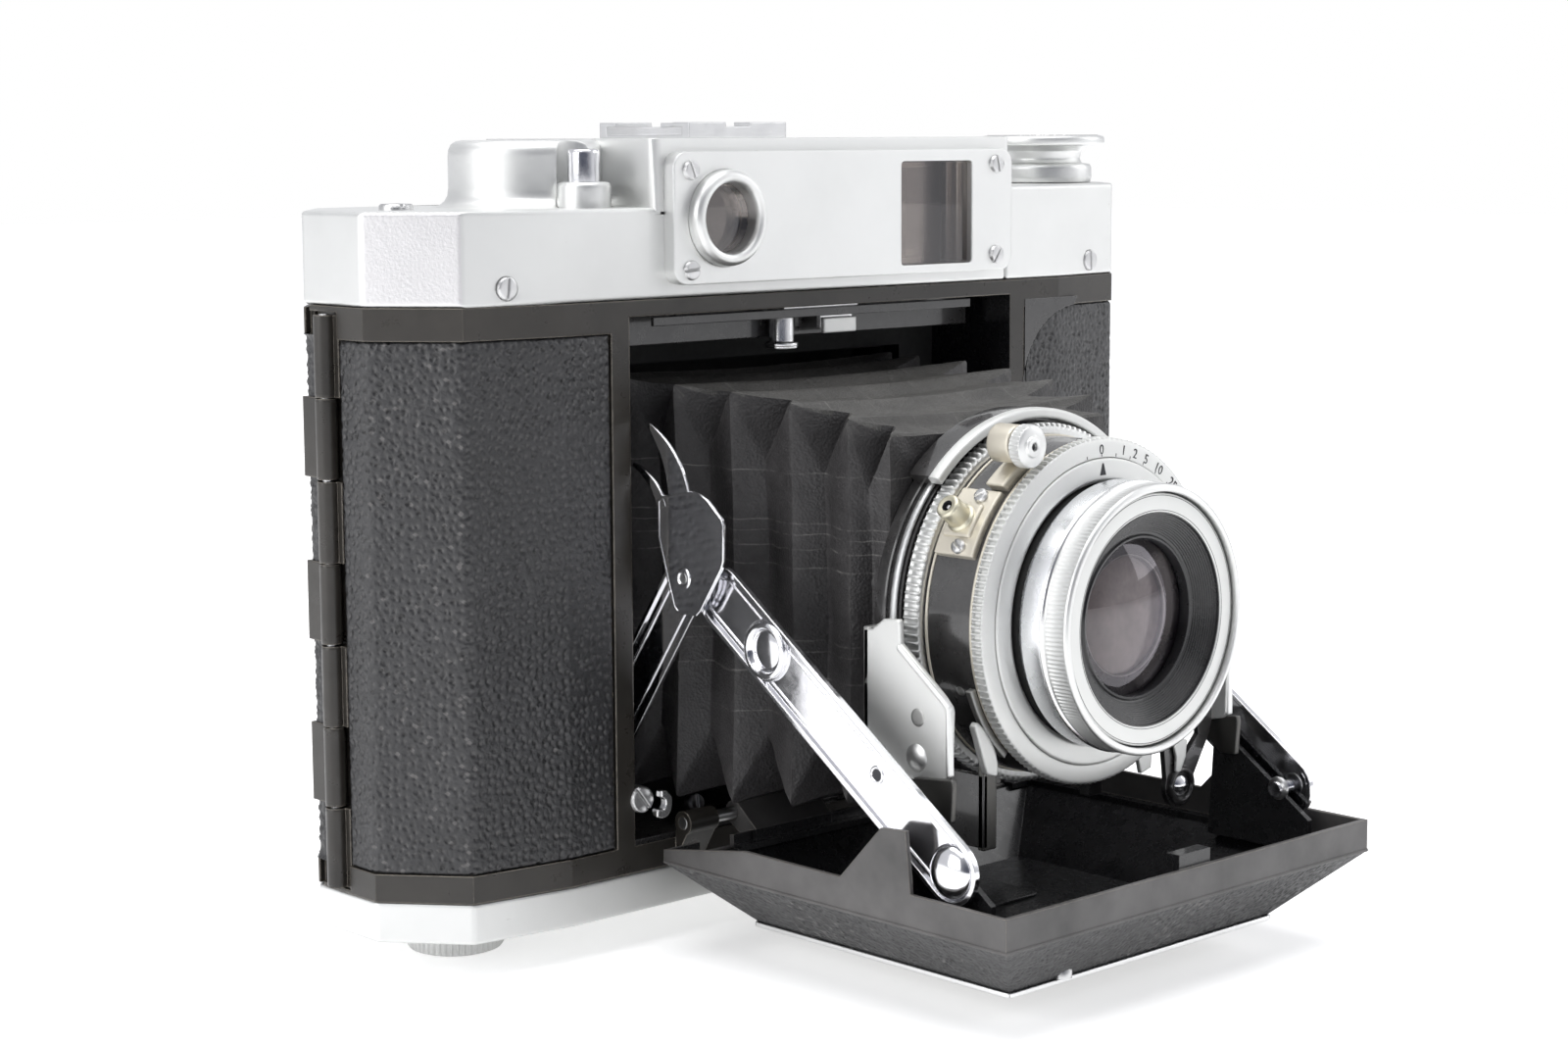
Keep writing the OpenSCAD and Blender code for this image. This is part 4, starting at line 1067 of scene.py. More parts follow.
def bellows_sections():
    """The sections and their y."""
    sections, places = [], []
    for k, (rear, fore) in enumerate(zip(RIDGES, RIDGES[1:])):
        depth = 3.4 if k < 5 else 1.8
        for i in range(PLEAT_STEPS):
            part = i / PLEAT_STEPS
            y, width, height = (r + (f - r) * part for r, f in zip(rear, fore))
            # 0 at a ridge, 1 in the valley
            fall = (part / VALLEY if part < VALLEY else (1 - part) / (1 - VALLEY)) ** 1.15
            dip = depth * fall
            peak = max(0.0, 1 - fall * 2.2) ** 1.5
            sections.append(bellows_section(
                width - dip, height - 0.25 * dip + 0.35 * peak, 0.35 + 7.6 * fall ** 0.9,
                0.35 + 4.4 * fall ** 0.9, 0.35 + 0.35 * fall + 0.3 * peak))
            places.append(y)
    y, width, height = RIDGES[-1]
    sections.append(bellows_section(width, height, 0.4, 0.4, 0.3))
    places.append(y)
    return np.array(sections), places


def build_bellows():
    sections, places = bellows_sections()
    rows, size = sections.shape[:2]
    y = np.array(places)[:, None].repeat(size, 1)
    outwards = sections / np.linalg.norm(sections, axis=2, keepdims=True)
    order = np.arange(size)[None, :].repeat(rows, 0) * 1.0
    # soft irregularity
    rough = (0.22 * (value_noise(order * 0.5 + 3, y * 1.3 + 40, 3.1, 5) - 0.5)
             + 0.12 * (value_noise(order * 1.7, y * 3 + 40, 1.2, 8) - 0.5))
    x = sections[:, :, 0] + outwards[:, :, 0] * rough
    z = sections[:, :, 1] + outwards[:, :, 1] * rough
    # creases across the pleats of both sides
    on_side = np.zeros(size, bool)
    on_side[EDGE_STEPS + CORNER_STEPS:2 * EDGE_STEPS + CORNER_STEPS] = True
    on_side[3 * (EDGE_STEPS + CORNER_STEPS):4 * EDGE_STEPS + 3 * CORNER_STEPS] = True
    side = np.sign(sections[:, :, 0])
    for crease_z, rise in SIDE_FOLDS:
        crease = rise * np.exp(-((z + AXIS_Z - crease_z - 0.02 * y) / 0.22) ** 2)
        x += np.where(on_side[None, :], side * crease, 0)
    uneven_y = y + 0.25 * (value_noise(order * 0.33, y + 70, 2.7, 12) - 0.5)
    z = z + AXIS_Z
    verts = np.stack([x, uneven_y, z], 2).reshape(-1, 3).tolist()
    faces = []
    for k in range(rows - 1):
        for i in range(size):
            j = (i + 1) % size
            faces.append((k * size + i, k * size + j, (k + 1) * size + j, (k + 1) * size + i))
    # cuffs turned in at both ends
    cuff = len(verts)
    last = (rows - 1) * size
    for row, scale in ((0, 0.86), (rows - 1, 0.80)):
        verts += [(x[row, i] * scale, places[row], AXIS_Z + (z[row, i] - AXIS_Z) * scale)
                  for i in range(size)]
    for i in range(size):
        j = (i + 1) % size
        faces.append((i, cuff + i, cuff + j, j))
        faces.append((last + i, last + j, cuff + size + j, cuff + size + i))
    skin = add_piece("bellows_skin", verts, faces, "bellows", "body", smooth=38,
                     slot="bellows_leather", replaces="bellows")
    skin.data.materials.append(MATERIALS["bellows_painted_top_light"])
    # faces turned up take the lighter copy: painted light on the top of the bellows
    for face in skin.data.polygons:
        normal = face.normal
        if normal.z > 0.55 or (normal.z > 0.25 and abs(normal.x) < 0.3):
            face.material_index = 1
    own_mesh(skin)


build_bellows()


# ------------------------------------------------------------------ door
def door_leather(name, edge_start, edge_stop, floor_start, floor_stop, step=0.22):
    """Leather on one sloping side, from its edge at the flange to its edge at the floor."""
    corners = (edge_start, edge_stop, floor_start, floor_stop)
    edge_start, edge_stop, floor_start, floor_stop = (np.array(c, float) for c in corners)
    edge_middle = (edge_start + edge_stop) / 2
    length = np.linalg.norm(edge_stop - edge_start)
    slope = np.linalg.norm((floor_start + floor_stop) / 2 - edge_middle)
    columns, rows = int(length / step), int(slope / step)
    along = np.linspace(0, 1, columns + 1)[:, None, None]
    down = np.linspace(0, 1, rows + 1)[None, :, None]
    points = ((edge_start * (1 - along) + edge_stop * along) * (1 - down)
              + (floor_start * (1 - along) + floor_stop * along) * down)
    normal = np.cross(edge_stop - edge_start, floor_start - edge_start)
    normal /= np.linalg.norm(normal)
    if np.dot(normal, edge_middle - np.array([0, -34, 20])) < 0:
        normal = -normal
    along_mm = along[:, :, 0] * length + 0 * down[:, :, 0]
    down_mm = down[:, :, 0] * slope + 0 * along[:, :, 0]
    height = pebble(along_mm, down_mm, cell=0.8, height=0.12, seed=17)
    edge = np.minimum(np.minimum(along_mm, length - along_mm),
                      np.minimum(down_mm, slope - down_mm))
    points = points + normal * (height * np.clip(edge / 0.5, 0, 1))[:, :, None]
    row = rows + 1
    faces = [(i * row + j, (i + 1) * row + j, (i + 1) * row + j + 1, i * row + j + 1)
             for i in range(columns) for j in range(rows)]
    add_piece(name, points.reshape(-1, 3).tolist(), faces, "door_leather", "door", smooth=180,
              outwards=False, replaces="door_leather", slot="leather")


flange = [(x, y, 7.35) for x, y in rect(-35.05, 35.05, -64.55, -4.7)]
tray_floor = [(x, y, -0.98) for x, y in rect(-25.1, 25.1, -56.1, -11.9)]
for k, side in enumerate(("front", "right", "rear", "left")):
    j = (k + 1) % 4
    door_leather("door_leather_" + side, flange[k], flange[j], tray_floor[k], tray_floor[j])
# thin bead under the flange
prism("door_bead", rect(-35.25, 35.25, -64.75, -4.6), 7.3, 7.75, "z", "enamel_door", "door",
      holes=[rect(-34.6, 34.6, -64.1, -5.3)], bevel=0.15)
prism("door_plate_rim", rounded_rect(-25.6, 25.6, -56.6, -11.4, 0.8, 4), -1.55, -0.95, "z",
      "chrome_soft", "door", holes=[rounded_rect(-24.6, 24.6, -55.6, -12.4, 0.5, 3)],
      bevel=0.2, slot="bright")
dome("floor_stud", (5.9, -46.7, -0.4), "+z", 1.7, 1.1, "gloss", "door", 0.4)
dome("floor_stud_b", (-16, -56.5, 0.2), "+z", 1.2, 0.7, "steel", "door", 1.0)
prism("floor_spring", rounded_rect(-6, 10, -30, -14, 1.5, 4), -0.55, -0.1, "z",
      "door_inside", "door", bevel=0.15)

# ------------------------------------------------------------------ struts
# places in y, z
DOOR_PIVOT = (-53.5, 14.7)
STRUT_END = (-13.5, 42.8)       # upper end of the front strut
LOCK_PIVOT = (-8.2, 45.0)
BODY_PIVOT = (6.8, 23.5)
CUP = (-21.6, 37.15)
EYE = (-41, 24.4)
LOCK_PLATE = [
    (-3.3, 54.7), (-4.3, 55.3), (-9.6, 56.3), (-11.0, 56.3), (-12.8, 55.5), (-15.5, 53.3),
    (-15.9, 52.5), (-15.8, 47.9), (-15.4, 46.9), (-11.4, 41.1), (-10.6, 40.4), (-7.0, 40.3),
    (-6.2, 41.0), (-5.0, 44.4), (-3.3, 49.8)]

for side in (-1, 1):
    dome("bracket_pin_%d" % (side + 1), (side * 30.35, DOOR_PIVOT[0], DOOR_PIVOT[1]),
         "-x" if side > 0 else "+x", 1.6, 0.5, "steel", "door", 0.3)


def horn_outline(curve, root, tip):
    """A tapered strip along a curve, from half width root to half width tip."""
    points = np.array(curve, float)
    last = len(points) - 1
    left, right = [], []
    for i, point in enumerate(points):
        tangent = points[min(i + 1, last)] - points[max(i - 1, 0)]
        tangent /= np.linalg.norm(tangent)
        reach = np.array((-tangent[1], tangent[0])) * (root + (tip - root) * (i / last) ** 1.3)
        left.append(tuple(point + reach))
        right.append(tuple(point - reach))
    return left + right[::-1]


def build_struts(side, tag):
    """The struts and the lock lever of one side; x is measured outwards from the middle."""
    front, rear, lever = "strut_front_" + tag, "strut_rear_" + tag, "lever_" + tag

    def plate(part, body, outline, near, far, bevel, hole=None, **options):
        prism(f"{part}_{tag}", outline, side * near, side * far, "x", "chrome", body,
              holes=[hole] if hole else [], bevel=bevel, **options)

    def turned(part, body, centre, steps, profile, material="chrome", soft=0.0):
        lathe(f"{part}_{tag}", [(radius, side * x) for radius, x in profile], material, body,
              "x", centre, steps=steps, soft=soft)

    strut = capsule(DOOR_PIVOT, STRUT_END, 4.1)
    plate("front_strut_web", front, inset(strut, 0.25), 32.02, 32.38, 0.06,
          replaces=front, slot="bright")
    plate("front_strut_rim", front, strut, 32.0, 32.82, 0.2, inset(strut, 0.62), segments=3)
    plate("front_strut_bead", front, inset(strut, 1.35), 32.3, 32.52, 0.07, inset(strut, 1.62))
    turned("front_strut_eye", front, EYE, 32, [
        (0.72, 32.1), (0.72, 32.48), (0.9, 32.56), (1.12, 32.5), (1.18, 32.3)], soft=0.03)
    turned("front_strut_cup", front, CUP, 96, [
        (0, 32.62), (1.1, 32.60), (2.0, 32.5), (2.35, 32.42), (2.55, 32.5), (2.75, 32.95),
        (3.0, 33.13), (3.35, 33.14), (3.6, 33.0), (3.68, 32.6), (3.68, 32.2)])
    turned("front_strut_cup_step", front, CUP, 96, [
        (3.6, 32.3), (3.6, 32.75), (3.9, 32.78), (4.0, 32.6), (4.0, 32.3)])
    turned("front_strut_rivet", front, DOOR_PIVOT, 96, [
        (0, 33.95), (0.8, 33.92), (1.6, 33.78), (2.4, 33.46), (3.0, 33.1), (3.25, 32.75),
        (3.35, 32.5), (3.35, 32.1), (1, 32.1), (1, 29.62), (0, 29.6)])
    turned("front_strut_washer", front, DOOR_PIVOT, 80, [
        (2.9, 32.3), (2.9, 32.56), (3.25, 32.6), (3.42, 32.45), (3.42, 32.3)])
    # a dark disc fills the eye: painted shade standing in for the open hole
    turned("front_strut_eye_painted_shade", front, EYE, 24, [
        (0, 32.46), (0.74, 32.46), (0.74, 32.1), (0, 32.1)], "ink")
    turned("lock_plate_eye_core", lever, LOCK_PIVOT, 24, [
        (0, 34.44), (0.72, 34.44), (0.72, 34.1), (0, 34.1)], "steel")
    # the rear strut is a channel
    strut = capsule(BODY_PIVOT, LOCK_PIVOT, 3.7)
    plate("rear_strut_web", rear, inset(strut, 0.2), 33.27, 33.45, 0.05,
          replaces=rear, slot="bright")
    plate("rear_strut_rim", rear, strut, 33.25, 33.8, 0.16, inset(strut, 0.55), segments=3)
    plate("rear_strut_bead", rear, inset(strut, 1.5), 33.4, 33.62, 0.08, inset(strut, 1.85))
    turned("rear_strut_boss", rear, BODY_PIVOT, 64, [
        (1.25, 33.26), (1.25, 33.75), (2.6, 33.75), (2.9, 33.4)], soft=0.05)
    turned("rear_strut_pivot", "body", BODY_PIVOT, 40, [
        (0, 33.24), (1.15, 33.24), (1.15, 35.95), (0, 35.95)], "steel", soft=0.05)
    # lock lever: blank plate, eyelet, two curved horns
    plate("lock_plate", lever, LOCK_PLATE, 33.88, 34.38, 0.14, segments=3,
          replaces="lock_lever_" + tag, slot="bright")
    plate("lock_plate_rim", lever, LOCK_PLATE, 34.2, 34.44, 0.1, inset(LOCK_PLATE, 0.42))
    turned("lock_plate_eye", lever, LOCK_PIVOT, 40, [
        (0.7, 34.0), (0.7, 34.45), (0.95, 34.58), (1.3, 34.5), (1.42, 34.3)], soft=0.03)
    curve = quadratic((-7.4, 55.6), (-6.4, 60.6), (-1.6, 64.2), 16)
    plate("horn_a", lever, horn_outline(curve, 2.0, 0.35), 33.95, 34.4, 0.12)
    curve = quadratic((-4.2, 53.6), (-2.6, 57.4), (1.6, 58.9), 16)
    plate("horn_b", lever, horn_outline(curve, 0.9, 0.3), 33.95, 34.4, 0.12)


for side, tag in SIDES:
    build_struts(side, tag)

# ------------------------------------------------------------------ inside the opening
slot_screw("inside_screw_a", (-35.0, -0.6, 15.0), (-0.1, -1, 0.05), radius=1.75, turn=80,
           height=2.6, edge_drop=0.3, slot_width=0.4, slot_depth=0.5)
prism("inside_hook", [
    (-34.4, 12.9), (-33.6, 12.6), (-32.6, 12.7), (-31.9, 13.4), (-31.7, 14.4), (-31.8, 15.4),
    (-32.6, 16.2), (-33.6, 16.3), (-33.6, 15.4), (-32.9, 15.1), (-32.8, 14.3), (-33.2, 13.7),
    (-34.3, 13.9)], -2.6, -1.4, "y", "chrome_soft", bevel=0.2)
slot_screw("inside_screw_b", (-20.2, 5.5, 11.2), (0, -1, 0.25), radius=1.3, turn=40,
           height=1.4, edge_drop=0.3, slot_width=0.3, slot_depth=0.35)
prism("sill", rect(-35.9, 35.9, 0.3, 15.4), 8.4, 9.6, "z", "gloss", bevel=0.2)
# rails behind the opening's top edge
box("top_rail", (-34, 34), (6.8, 7.6), (73.6, 77.9), "gloss", "body", 0.15)
box("top_rail_b", (-30, 30), (2.2, 2.8), (76.4, 77.6), "gloss", "body", 0.1)
lathe("catch_button", [
    (0, 72.0), (1.9, 72.1), (2.35, 72.5), (2.35, 72.9), (1.75, 73.1), (1.7, 77.2), (0, 77.2)],
    "chrome_soft", "door_latch", "z", (-4.7, 5), steps=48, soft=0.05)
box("catch_tab", (1.9, 8.1), (3.4, 4.0), (73.9, 76.0), "white_ring", "door_latch", 0.12)


# ------------------------------------------------------------------ lens
def ring(name, material, profile, body="standard", soft=0.0, closed=True, **options):
    """A ring about the lens axis; its profile is (radius, y)."""
    lathe(name, profile, material, body, soft=soft, closed=closed, **options)


# front rim: knurl, ridge, polished band
ring("lens_rim_knurl", "satin_fine", [
    (15.95, -56.3), (15.95, -57.25), (16.1, -57.42), (16.55, -57.42), (16.85, -57.2),
    (16.92, -56.95), (16.92, -56.8), (16.92, -54.2), (16.92, -54.05), (16.6, -53.85),
    (16.6, -53.3), (15.95, -53.3)],
    knurl=Knurl(-56.85, -54.15, 190, 0.2, 16.7), slot="satin")
ring("lens_ridge", "chrome_soft", [
    (16.4, -53.9), (16.7, -53.75), (17.05, -53.5), (17.08, -53.25), (16.9, -53.05),
    (16.4, -53.0)], soft=0.05)
ring("lens_band", "turned", [
    (15.8, -53.2), (16.88, -53.15), (16.9, -53.0), (16.9, -50.2), (16.8, -50.02),
    (16.3, -49.95), (16.2, -49.2), (15.6, -49.0)],
    soft=0.05, steps=160, replaces="lens_barrel", slot="satin")
ring("lens_neck", "dark", [(16.1, -50.2), (16.1, -46.6), (12.9, -46.5), (12.9, -49)])
# blank front ring between two dark lines
ring("front_ring", "white_ring", [
    (13.35, -56.0), (13.35, -56.62), (13.5, -56.74), (15.6, -56.74), (15.72, -56.62),
    (15.72, -56.0)], soft=0.03, replaces="name_ring", slot="satin")
ring("front_ring_gap", "ink", [
    (15.6, -56.2), (15.98, -56.2), (15.98, -55.6), (15.6, -55.6)])
for radius in (13.62, 15.45):
    ring("front_ring_line_%d" % int(radius), "ink", [
        (radius - 0.035, -56.7), (radius - 0.035, -56.755), (radius + 0.035, -56.755),
        (radius + 0.035, -56.7)], steps=160)
# threaded black cone down to the glass
thread = [(13.38, -56.62), (13.2, -56.66)]
for i in range(11):
    radius, y = 13.15 - 2.55 * i / 11, -56.4 + 2.05 * i / 11
    thread += [(radius, y), (radius - 0.03, y + 0.13), (radius - 0.22, y + 0.15)]
ring("cone", "cone", thread + [
    (10.45, -54.3), (10.2, -54.55), (9.95, -54.5), (9.8, -54.0), (9.9, -52.9), (11, -51.7),
    (13.38, -51.7)], steps=144, slot="black_gloss")

GLASS_RADIUS = 9.95
GLASS_CURVE = 23.0
GLASS_CENTRE_Y = -32.3          # centre of the front element's sphere
radii = [GLASS_RADIUS * i / 16 for i in range(17)]
ring("front_element", "lens_glass",
     [(r, GLASS_CENTRE_Y - math.sqrt(GLASS_CURVE ** 2 - r ** 2)) for r in radii]
     + [(GLASS_RADIUS, -49.9), (8.0, -50.2), (4.0, -50.5), (0, -50.6)],
     closed=False, replaces="front_glass", slot="coated_glass")
ring("lens_edge_black", "gloss", [
    (9.9, -52.9), (9.0, -52.7), (7.7, -52.45), (7.55, -52.2), (7.55, -50.5), (9.9, -50.5)],
    steps=96)
ring("second_element", "element", [
    (0, -52.3), (2.5, -52.25), (5, -52.1), (7.55, -51.85), (7.55, -51.2), (0, -51.2)],
    closed=False, steps=96)
ring("element_ring", "satin_dark", [
    (7.45, -52.3), (7.55, -52.38), (7.68, -52.45), (7.75, -52.3), (7.6, -51.9),
    (7.45, -51.9)], steps=96)
# five overlapping leaves with curved edges
for k in range(5):
    start = 72 * k + 20
    outline = [LENS_AXIS] + [polar(LENS_AXIS, 11.5, start + i * 9) for i in range(10)]
    outline.append(polar(LENS_AXIS, 6.5, start + 66))
    prism("leaf_%d" % k, outline, -39.45 - 0.05 * k, -39.4 - 0.05 * k, "y", "blade",
          "standard")

# ------------------------------------------------------------------ speed ring
ring("index_ring", "white_ring", [
    (16.4, -48.2), (16.9, -48.55), (19.2, -48.5), (19.38, -48.4), (19.4, -47.4),
    (16.4, -47.4)], soft=0.08, steps=160)
ring("speed_face", "white_ring", [
    (19.45, -47.0), (19.45, -48.2), (19.55, -48.3), (21.4, -48.22), (21.8, -48.05),
    (22.0, -47.8), (22.0, -47.72), (22.0, -46.72), (22.0, -46.66), (21.8, -46.6),
    (19.45, -46.6)], "speed",
    knurl=Knurl(-47.85, -46.62, 150, 0.6, 21.8), replaces="speed_ring", slot="satin")
prism("index_mark", [
    (-0.55, AXIS_Z + 17.3), (0.55, AXIS_Z + 17.3), (0.08, AXIS_Z + 18.8),
    (-0.08, AXIS_Z + 18.8)], -48.58, -48.2, "y", "ink", "standard")

NUMBER_RADIUS = 20.45
NUMBER_SIZE = 1.75
NUMBER_Y = -48.27
# text and its angle, in degrees up from +x
SPEEDS = (("1", 78), ("2", 71.5), ("5", 65), ("10", 57), ("25", 47), ("50", 37),
          ("100", 25), ("250", 11), ("500", -3), ("0", 90))


def numeral(name, text, degrees):
    """A figure on the face of the speed ring, its head outwards."""
    curve = bpy.data.curves.new(name + "_curve", "FONT")
    curve.body = text
    curve.size = NUMBER_SIZE * MM
    curve.align_x = "CENTER"
    curve.align_y = "CENTER"
    curve.extrude = 0.00002
    curve.resolution_u = 3
    source = link_mesh(name + "_src", curve)
    graph = bpy.context.evaluated_depsgraph_get()
    mesh = bpy.data.meshes.new_from_object(source.evaluated_get(graph))
    bpy.data.objects.remove(source)
    bpy.data.curves.remove(curve)
    x, z = polar(LENS_AXIS, NUMBER_RADIUS, degrees)
    mesh.transform(Matrix.Translation(to_scene((x, NUMBER_Y, z)))
                   @ Matrix.Rotation(math.pi / 2 - math.radians(degrees), 4, "Y")
                   @ Matrix.Rotation(math.pi / 2, 4, "X"))
    mesh.name = name
    mesh.materials.clear()
    mesh.materials.append(MATERIALS["ink"])
    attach(link_mesh(name, mesh), "speed")


for k, (text, degrees) in enumerate(SPEEDS):
    numeral("speed_number_%d" % k, text, degrees)
for k in range(0, 30, 2):
    start, stop = (polar(LENS_AXIS, radius, -14 + 4 * k) for radius in (19.62, 19.95))
    prism("speed_tick_%02d" % k, capsule(start, stop, 0.05, 2), -48.32, -48.2, "y", "ink",
          "speed")

# ------------------------------------------------------------------ shutter case
ring("case", "gloss", [
    (19.7, -46.5), (21.5, -46.5), (21.5, -33.4), (22.9, -33.4), (22.9, -31.1), (13.5, -31.1),
    (13.5, -35.5), (19.6, -35.5)],
    soft=0.08, steps=180, replaces="shutter_case", slot="black_gloss")
ring("case_front_wall", "dark", [(12.9, -46.45), (20.5, -46.45), (20.5, -45.2), (12.9, -45.2)])
for k, (y0, y1) in enumerate(((-46.42, -46.02), (-38.95, -38.6))):
    ring("case_line_%d" % k, "cream", [
        (21.3, y0), (21.66, y0), (21.72, y0 + 0.1), (21.72, y1 - 0.1), (21.66, y1),
        (21.3, y1)], steps=180)
ring("aperture_serration", "satin_fine", [
    (21.56, -38.35), (22.7, -38.35), (23.05, -38.15), (23.1, -38.0), (23.1, -36.4),
    (23.05, -36.2), (22.7, -36.02), (21.56, -36.02)], "aperture",
    knurl=Knurl(-38.25, -36.1, 140, 0.62, 22.8), replaces="aperture_ring", slot="satin")
dome("case_rivet", (-19.7, -43, 33.6), "-x", 0.95, 0.45, "steel", "standard", 1.2)
dome("case_rivet_b", (-17.2, -44.0, 27.8), "-x", 0.5, 0.3, "steel", "standard", 1.8)

# flash socket at the upper left of the case, turned away from the vertical
SOCKET_COS = math.cos(math.radians(55))
SOCKET_SIN = math.sin(math.radians(55))
SOCKET_OUT = (-SOCKET_SIN, 0, SOCKET_COS)


def at_socket(aside, y, out):
    """A point given across the socket and outwards from the lens axis."""
    return (aside * SOCKET_COS - out * SOCKET_SIN, y,
            AXIS_Z + aside * SOCKET_SIN + out * SOCKET_COS)


def curved_plate(name, aside_span, y_span, out_span, bevel=0.15, **options):
    """A plate that follows the case, bent to a radius of 22.2."""
    start, stop = aside_span
    verts, faces = [], []
    for i in range(11):
        aside = start + (stop - start) * i / 10
        fall = math.sqrt(22.2 ** 2 - aside * aside) - 22.2
        verts += [at_socket(aside, y, out + fall) for y in y_span for out in out_span]
    for i in range(0, 40, 4):
        for a, b in ((0, 1), (1, 3), (3, 2), (2, 0)):
            faces.append((i + a, i + b, i + 4 + b, i + 4 + a))
    faces += [(0, 1, 3, 2), (40, 42, 43, 41)]
    add_piece(name, verts, faces, "cream", "standard", bevel=bevel, bevel_angle=50, **options)


curved_plate("flash_plate", (-4.6, 4.6), (-45.4, -39.0), (21.3, 22.35), slot="brass")
curved_plate("flash_boss", (-2.4, 2.3), (-44.2, -39.6), (22.0, 22.75), 0.3,
             replaces="sync_socket")
post = at_socket(0, -41.8, 22.2)
lathe_towards("flash_post", [
    (0.72, 3.6), (1.35, 3.66), (1.55, 3.5), (1.6, 3.2), (1.6, 0.9), (1.9, 0.7), (2.0, 0.2),
    (2.0, -0.6)], post, SOCKET_OUT, "brass", "standard")
lathe_towards("flash_bore", [(0.73, 3.58), (0.7, 2.4), (0, 2.4)], post, SOCKET_OUT,
              "ink", "standard", steps=40)
lathe_towards("flash_pin", [(0, 3.4), (0.25, 3.35), (0.3, 3.1), (0.3, 2.0)], post, SOCKET_OUT,
              "steel", "standard", steps=24)
for k, aside in enumerate((-3.55, 3.5)):
    slot_screw("flash_screw_%d" % k, at_socket(aside, -42.9, 22.62), SOCKET_OUT, radius=0.95,
               turn=20 + 60 * k, height=0.8, edge_drop=0.25, slot_width=0.2, slot_depth=0.25,
               body="standard")

# selector wheel with its housing
SELECTOR = (-12.8, 63.2)        # x, z
lathe("selector_head", [
    (0.0, -48.1), (0.5, -48.1), (0.55, -48.6), (1.25, -48.65), (1.4, -48.3), (2.35, -48.25),
    (2.6, -48.1), (2.7, -47.9), (2.7, -47.8), (2.7, -46.8), (2.7, -46.72), (2.5, -46.65),
    (1.0, -46.6), (1.0, -44.2), (0, -44.2)], "satin_fine", "selector", centre=SELECTOR,
    soft=0, knurl=Knurl(-47.95, -46.75, 30, 0.25, 2.5), replaces="selector_wheel",
    slot="satin")
lathe("selector_hole", [(0, -48.12), (0.52, -48.14), (0.56, -48.4)], "ink", "selector",
      centre=SELECTOR, steps=24, soft=0)
lathe("selector_boss", [(0, -46.35), (2.35, -46.35), (2.4, -46.1), (2.4, -42.9), (0, -42.9)],
      "cream", "standard", centre=(-13, 63.4), steps=48, soft=0.1)
curved_plate("selector_shelf", (5.2, 12.5), (-45.6, -42.6), (21.2, 22.9), 0.2)

# ------------------------------------------------------------------ lens standard
# guard: broad arc over the top, hammered edge down the left side
ring("guard_arc", "white_ring", [
    (23.65, -36.9), (23.85, -37.1), (24.7, -37.1), (24.95, -36.85), (24.95, -35.5),
    (24.7, -35.2), (23.65, -35.2)],
    soft=0.1, arc=(28, 135.5), steps=110, replaces="lens_standard", slot="satin")
ring("guard_edge", "hammered", [
    (22.9, -34.8), (23.0, -35.15), (23.3, -35.15), (23.45, -34.95), (23.45, -34.25),
    (22.9, -34.1)], soft=0.08, arc=(135, 207), steps=70)
ring("standard_plate", "gloss", [
    (13.5, -33.35), (23.2, -33.35), (23.3, -33.1), (23.3, -31.5), (13.5, -31.4)],
    soft=0.05, steps=160)
ring("guard_root", "gloss", [(23.25, -35.25), (24.85, -35.25), (24.85, -31.9), (23.25, -31.9)],
     soft=0.05, arc=(28.5, 135), steps=90)
ring("guard_inner", "gloss", [(22.4, -35.6), (22.85, -35.6), (22.85, -33.2), (22.4, -33.2)],
     steps=150)

# outlines in y, z
CHEEK = [
    (-33.2, 40.6), (-34.6, 40.8), (-36.6, 42.3), (-39.2, 42.5), (-39.5, 42.2), (-39.6, 39.6),
    (-46.8, 34.0), (-47.9, 32.9), (-48.1, 32.3), (-47.9, 24.6), (-47.3, 23.9), (-44.2, 23.2),
    (-40.2, 23.0), (-38.7, 23.4), (-36.8, 26.0), (-33.2, 27.2)]
CHEEK_RIM = [
    (-39.4, 39.6), (-46.8, 34.0), (-48.0, 32.9), (-48.2, 24.4), (-47.6, 24.4), (-47.5, 32.6),
    (-46.4, 33.5), (-39.2, 38.9)]
FOOT = [(-42.6, 23.6), (-49.1, 24.3), (-49.3, 23.5), (-49.0, 19.1), (-46.4, 19.0),
        (-43.4, 21.4)]
CHEEK_X = 27.0                  # outer face of the cheeks

for side, tag in SIDES:
    outer = side * CHEEK_X
    prism("cheek_" + tag, CHEEK, side * 26.15, outer, "x", "white_ring", "standard",
          bevel=0.28, segments=3)
    prism("cheek_rim_" + tag, CHEEK_RIM, side * 26.4, side * 27.35, "x", "satin_fine",
          "standard", bevel=0.15)
    box("cheek_return_" + tag, sorted((side * 22.5, outer)), (-34.2, -33.2), (26.9, 41.0),
        "satin_dark", "standard", 0.2)
    lathe("cheek_rivet_" + tag, [
        (0, side * 27.06), (0.9, side * 27.06), (1.15, outer), (1.2, side * 26.6)],
        "satin_dark", "standard", "x", (-42.6, 30.9), steps=40, soft=0.03)
    dome("cheek_stud_" + tag, (outer, -42.4, 25.9), "-x" if side < 0 else "+x", 1.75, 0.55,
         "satin_fine", "standard", 0.2)
    prism("foot_" + tag, FOOT, side * 27.05, side * 27.75, "x", "gunmetal", "standard",
          bevel=0.12, replaces="standard_link")
box("leg_l", (-17.4, -14.9), (-44.6, -43.6), (12.9, 25.0), "gunmetal", "standard", 0.2)
box("leg_l_web", (-17.4, -16.6), (-44.6, -34.0), (13.2, 22.5), "gloss", "standard", 0.15)
box("leg_r", (13.6, 16.4), (-35.0, -33.4), (13.2, 25), "gloss", "standard", 0.2)

